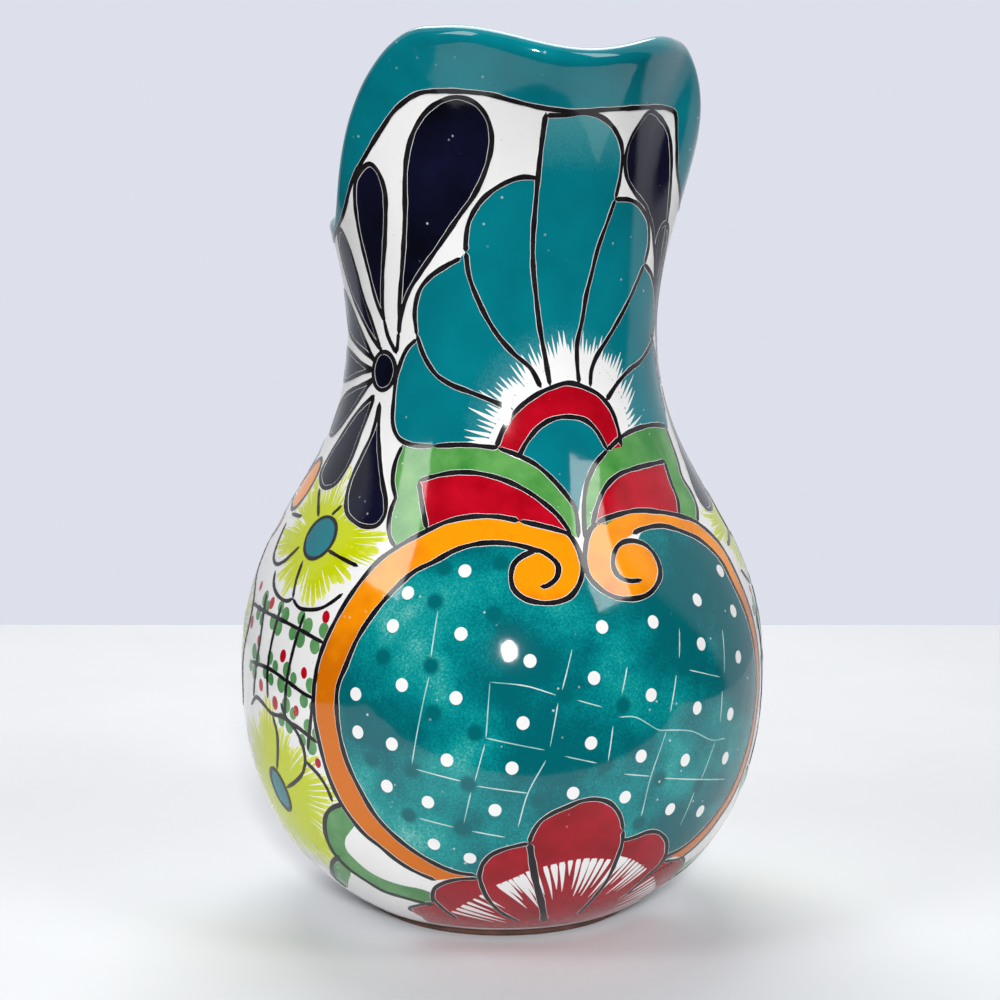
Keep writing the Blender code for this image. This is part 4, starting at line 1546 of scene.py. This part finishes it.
# Back
# The painter carries the same motifs round the side that the view hides. On each flank are an orange flower,
# a lime one and a navy one over three green leaves with red blades. Under the handle the net of dots stands
# over a fan of red petals and two more tendrils.
ORANGE_HEART = (math.radians(-113.5), 0.1205)
ORANGE_PETALS = 5
ORANGE_FIRST = 6
ORANGE_REACH = 0.0205
ORANGE_STRETCH = 0.0045
ORANGE_PETAL_HALF = 0.0098
ORANGE_EYE_SIZE = (0.0052, 0.0052)
BACK_LIME_HEART = (math.radians(-112), 0.0815)
BACK_LIME_REACH = 0.0235
BACK_LIME_EYE_SIZE = (0.0056, 0.0060)
BACK_NAVY_CENTRE = (math.radians(-139.5), 0.1615)
BACK_NAVY_REACH = 0.0235
BACK_NAVY_STRETCH = 0.0035
BACK_NAVY_PETALS = 8
BACK_NAVY_HALF = 0.0052
LEAF_ROOT = (math.radians(-141.5), 0.1195)
BACK_LEAVES = ((-50, 0.025), (-96, 0.027), (-142, 0.026))
LEAF_HALF = 0.0074
BLADE_SHARE = 0.62
FOOT_PETAL_ROOT = (math.pi, 0.0060)
FOOT_PETALS = ((-72, 0.026), (-36, 0.031), (0, 0.034), (36, 0.031), (72, 0.026))
FOOT_PETAL_HALF = 0.0076
FOOT_PETAL_START = 0.001
TENDRIL_TURN = math.radians(-165)
NET_TURNS = np.radians(np.linspace(139, 221, 8))
NET_HEIGHTS = np.linspace(0.043, 0.087, 4)
NET_OVERHANG = (0.07, 0.006)
NET_WAVER = (0.012, 0.0009)
NET_POINTS = (70, 30)
ROW_WAVES = 7
ROW_SHIFT = 900
COLUMN_WAVES = 90
COLUMN_SHIFT = 9


def net_lines():
    """Columns and rows of the net: straight lines that waver by a sine, a little past the last crossing."""
    past_side, past_end = NET_OVERHANG
    turn = np.linspace(NET_TURNS[0] - past_side, NET_TURNS[-1] + past_side, NET_POINTS[0])
    level = np.linspace(NET_HEIGHTS[0] - past_end, NET_HEIGHTS[-1] + past_end, NET_POINTS[1])
    aside, up = NET_WAVER
    rows = [
        np.stack([turn, height + up * np.sin(ROW_WAVES * turn + ROW_SHIFT * height)], axis=1)
        for height in NET_HEIGHTS
    ]
    columns = [
        np.stack([angle + aside * np.sin(COLUMN_WAVES * level + COLUMN_SHIFT * angle), level], axis=1)
        for angle in NET_TURNS
    ]
    return rows + columns


def petal_ring(centre, leans, lengths, half):
    """A teardrop petal at each lean round a centre."""
    return [teardrop(centre, lean, length, half) for lean, length in zip(leans, lengths)]


def make_back_flowers():
    """Rings of teardrop petals round their hearts, and a burst of lime strokes round its own."""
    leans = ORANGE_FIRST + np.arange(ORANGE_PETALS) * 360 / ORANGE_PETALS
    reaches = ORANGE_REACH - ORANGE_STRETCH * np.cos(2 * np.radians(leans))
    orange = petal_ring(ORANGE_HEART, leans, reaches, ORANGE_PETAL_HALF)
    leans = np.arange(BACK_NAVY_PETALS) * 360 / BACK_NAVY_PETALS
    reaches = BACK_NAVY_REACH + BACK_NAVY_STRETCH * np.cos(2 * np.radians(leans))
    navy = petal_ring(BACK_NAVY_CENTRE, leans, reaches, BACK_NAVY_HALF)
    leans, reaches = np.array(BACK_LEAVES).T
    leaves = petal_ring(LEAF_ROOT, leans, reaches, LEAF_HALF)
    blades = petal_ring(LEAF_ROOT, leans, BLADE_SHARE * reaches, BLADE_SHARE * LEAF_HALF)
    eyes = both_flanks([oval(ORANGE_HEART, ORANGE_EYE_SIZE), oval(BACK_LIME_HEART, BACK_LIME_EYE_SIZE)])
    navy_eyes = both_flanks([oval(BACK_NAVY_CENTRE, NAVY_CENTRE_SIZE)])
    orange, navy, leaves, blades = (both_flanks(paths) for paths in (orange, navy, leaves, blades))
    films = [petal(path, FIRST_COAT) for path in orange]
    paint_piece("back_orange_petals", films, orange_glaze)
    films = [petal(path, SECOND_COAT) for path in navy] + [patch(eye, THIRD_COAT) for eye in navy_eyes]
    paint_piece("back_navy_petals", films, navy_glaze)
    paint_piece("back_leaves", [petal(path, FIRST_COAT) for path in leaves], green_glaze)
    paint_piece("back_leaf_blades", [petal(path, SECOND_COAT) for path in blades], red_glaze)
    edges = both_flanks([lobed(BACK_LIME_HEART, BACK_LIME_REACH)])
    hearts = both_flanks([np.array(BACK_LIME_HEART)])
    strokes = [film for heart, edge in zip(hearts, edges) for film in sunburst(heart, edge)]
    paint_piece("back_lime_strokes", strokes, lime_glaze)
    streaks = [film for heart, edge in zip(hearts, edges) for film in bare_streaks(heart, edge)]
    paint_piece("back_lime_streaks", streaks, white_glaze)
    ink("back_lime", [], LIME_LINE_HALF, edges, margin=False)
    paint_piece("back_hearts", [patch(eye, THIRD_COAT) for eye in eyes], teal_glaze)
    ink("back_flower", orange + navy + leaves + blades, rings=eyes + navy_eyes)


def make_back_net():
    """The net, with four green dots round each crossing and a red dot in the middle of each mesh."""
    crossings = np.stack(np.meshgrid(NET_TURNS, NET_HEIGHTS), axis=-1)
    meshes = (crossings[1:, 1:] + crossings[:-1, :-1]) / 2
    greens = np.vstack([spread(place, np.array(GREEN_DOTS)) for place in crossings.reshape(-1, 2)])
    paint_piece("back_green_dots", dabs(greens, GREEN_DOT_SIZE, FIRST_COAT), moss_glaze)
    reds = dabs(meshes.reshape(-1, 2), RED_DOT_SIZE, FIRST_COAT)
    paint_piece("back_red_dots", reds, red_glaze)
    ink("back_net", net_lines(), LATTICE_HALF, margin=False)


def make_back_foot():
    """Red teardrops that open from the foot, and the front's tendrils, turned round the axis."""
    petals = [teardrop(FOOT_PETAL_ROOT, *shape, FOOT_PETAL_HALF, FOOT_PETAL_START) for shape in FOOT_PETALS]
    paint_piece("back_foot_petals", [petal(path, FIRST_COAT) for path in petals], red_glaze)
    outer, inner = ((TENDRIL_TURN, 0) - drawn(run) * (1, -1) for run in (TENDRIL_OUTER_PX, TENDRIL_INNER_PX))
    tendrils = [band(a, b, FIRST_COAT) for a, b in zip(both_flanks([outer]), both_flanks([inner]))]
    paint_piece("back_tendrils", tendrils, moss_glaze)
    ink("back_foot", petals + both_flanks([outer]), margin=False)


make_back_flowers()
make_back_net()
make_back_foot()

# Table and light
# A plain pale slab to stand on, before a pale backdrop. A broad lamp hangs high behind, and a small tall one
# stands by the viewer. Two tall panels at the sides, and a room in the gloss alone, give the reflections.
TABLE_HALF = 0.38
TABLE_BACK = 0.41
TABLE_FRONT = (0.27, 0.10)
TABLE_DEPTH = 0.02
PANEL_TURN = math.radians(57)
PANEL_DISTANCE = 0.80
PANEL_RISE = 0.95
PANEL_SIZE = (0.29, 0.76)
PANEL_POWER = 4.2
BACK_PLACE = (-0.07, -0.60, 1.08)
BACK_SIZE = (0.8, 0.8)
BACK_POWER = 10.8
LAMP_PLACE = (0.08, 1.45, 0.62)
LAMP_SIZE = (0.13, 0.24)
LAMP_POWER = 18.0
LAMP_AIM = 0.115
ROOM_FRONT = (-0.12, 1, -0.75)
PALE_WALL = (0.74, 0.76, 0.82)
SIDE_WALL = (0.52, 0.54, 0.60)
DIM_ROOM = (0.03, 0.03, 0.035)
FILL = (0.055, 0.055, 0.06)
BACKDROP = glaze_colour(221, 224, 235)
TABLE_WHITE = (0.78, 0.795, 0.82)
TABLE_DIM = 0.97
TABLE_CLOUD_SCALE = 14
TABLE_CLOUD_STOPS = (0.3, 0.7)
TABLE_ROUGHNESS = 0.8
ROOM_STOPS = (0.02, 0.13, 0.30, 0.34)


def view_frame(right, toward, height):
    """A place given as metres to the viewer's right, towards the viewer and up from the pitcher's foot."""
    side = np.array([math.cos(VIEW_TURN), -math.sin(VIEW_TURN), 0])
    front = np.array([-math.sin(VIEW_TURN), -math.cos(VIEW_TURN), 0])
    return right * side + toward * front + np.array([0, 0, height])


def make_table():
    """A slab with its edges along the line of sight, its top at the pitcher's foot."""
    left, right = -TABLE_HALF, TABLE_HALF
    front_left, front_right = TABLE_FRONT
    corners = [(left, -TABLE_BACK), (right, -TABLE_BACK), (right, front_right), (left, front_left)]
    top = [view_frame(x, y, 0) for x, y in corners]
    low = [point - np.array([0, 0, TABLE_DEPTH]) for point in top]
    sides = [(i, i + 4, (i + 1) % 4 + 4, (i + 1) % 4) for i in range(4)]
    mesh = bpy.data.meshes.new("table")
    mesh.from_pydata([tuple(p) for p in top + low], [], [(3, 2, 1, 0), (4, 5, 6, 7)] + sides)
    finish, tree, shader, place = new_finish("table_white")
    shades = (tuple(TABLE_DIM * np.array(TABLE_WHITE)), TABLE_WHITE)
    pale = ramp(tree, noise(tree, place, TABLE_CLOUD_SCALE, detail=3), list(zip(TABLE_CLOUD_STOPS, shades)))
    tree.links.new(pale, shader.inputs["Base Color"])
    shader.inputs["Roughness"].default_value = TABLE_ROUGHNESS
    mesh.materials.append(finish)
    table = bpy.data.objects.new("table", mesh)
    bpy.context.scene.collection.objects.link(table)


def add_lamp(name, place, size, power, aim, shape="RECTANGLE"):
    """A soft lamp that faces a height on the pitcher's axis."""
    lamp = bpy.data.lights.new(name, "AREA")
    lamp.shape = shape
    lamp.size, lamp.size_y = size
    lamp.energy = power
    holder = bpy.data.objects.new(name, lamp)
    holder.location = place
    holder.rotation_euler = Vector(np.array([0, 0, aim]) - place).to_track_quat("-Z", "Y").to_euler()
    bpy.context.scene.collection.objects.link(holder)


def make_world():
    """A pale backdrop to the camera, an even fill to matt surfaces, and in the gloss a dim room in front of
    the pitcher, with pale sides and back."""
    world = bpy.data.worlds.new("room")
    world.use_nodes = True
    bpy.context.scene.world = world
    tree = world.node_tree
    way = node(tree, "ShaderNodeTexCoord").outputs["Generated"]
    ahead = {0: way, 1: tuple(view_frame(*ROOM_FRONT))}
    front = node(tree, "ShaderNodeVectorMath", ahead, operation="DOT_PRODUCT").outputs["Value"]
    shades = (PALE_WALL, SIDE_WALL, SIDE_WALL, DIM_ROOM)
    room = ramp(tree, scaled(tree, front, 0.5, 0.5), list(zip(ROOM_STOPS, shades)))
    path = node(tree, "ShaderNodeLightPath")
    lit = mix(tree, path.outputs["Is Glossy Ray"], (*FILL, 1), room)
    seen = mix(tree, path.outputs["Is Camera Ray"], lit, (*BACKDROP, 1))
    tree.links.new(seen, tree.nodes["Background"].inputs["Color"])


make_table()
make_world()
for name, turn in (("panel_left", -PANEL_TURN), ("panel_right", PANEL_TURN)):
    place = view_frame(PANEL_DISTANCE * math.sin(turn), PANEL_DISTANCE * math.cos(turn), PANEL_RISE)
    add_lamp(name, place, PANEL_SIZE, PANEL_POWER, PANEL_RISE)
add_lamp("lamp_back", view_frame(*BACK_PLACE), BACK_SIZE, BACK_POWER, LAMP_AIM)
add_lamp("lamp_front", view_frame(*LAMP_PLACE), LAMP_SIZE, LAMP_POWER, LAMP_AIM, "ELLIPSE")
bpy.context.scene.view_settings.view_transform = "Standard"
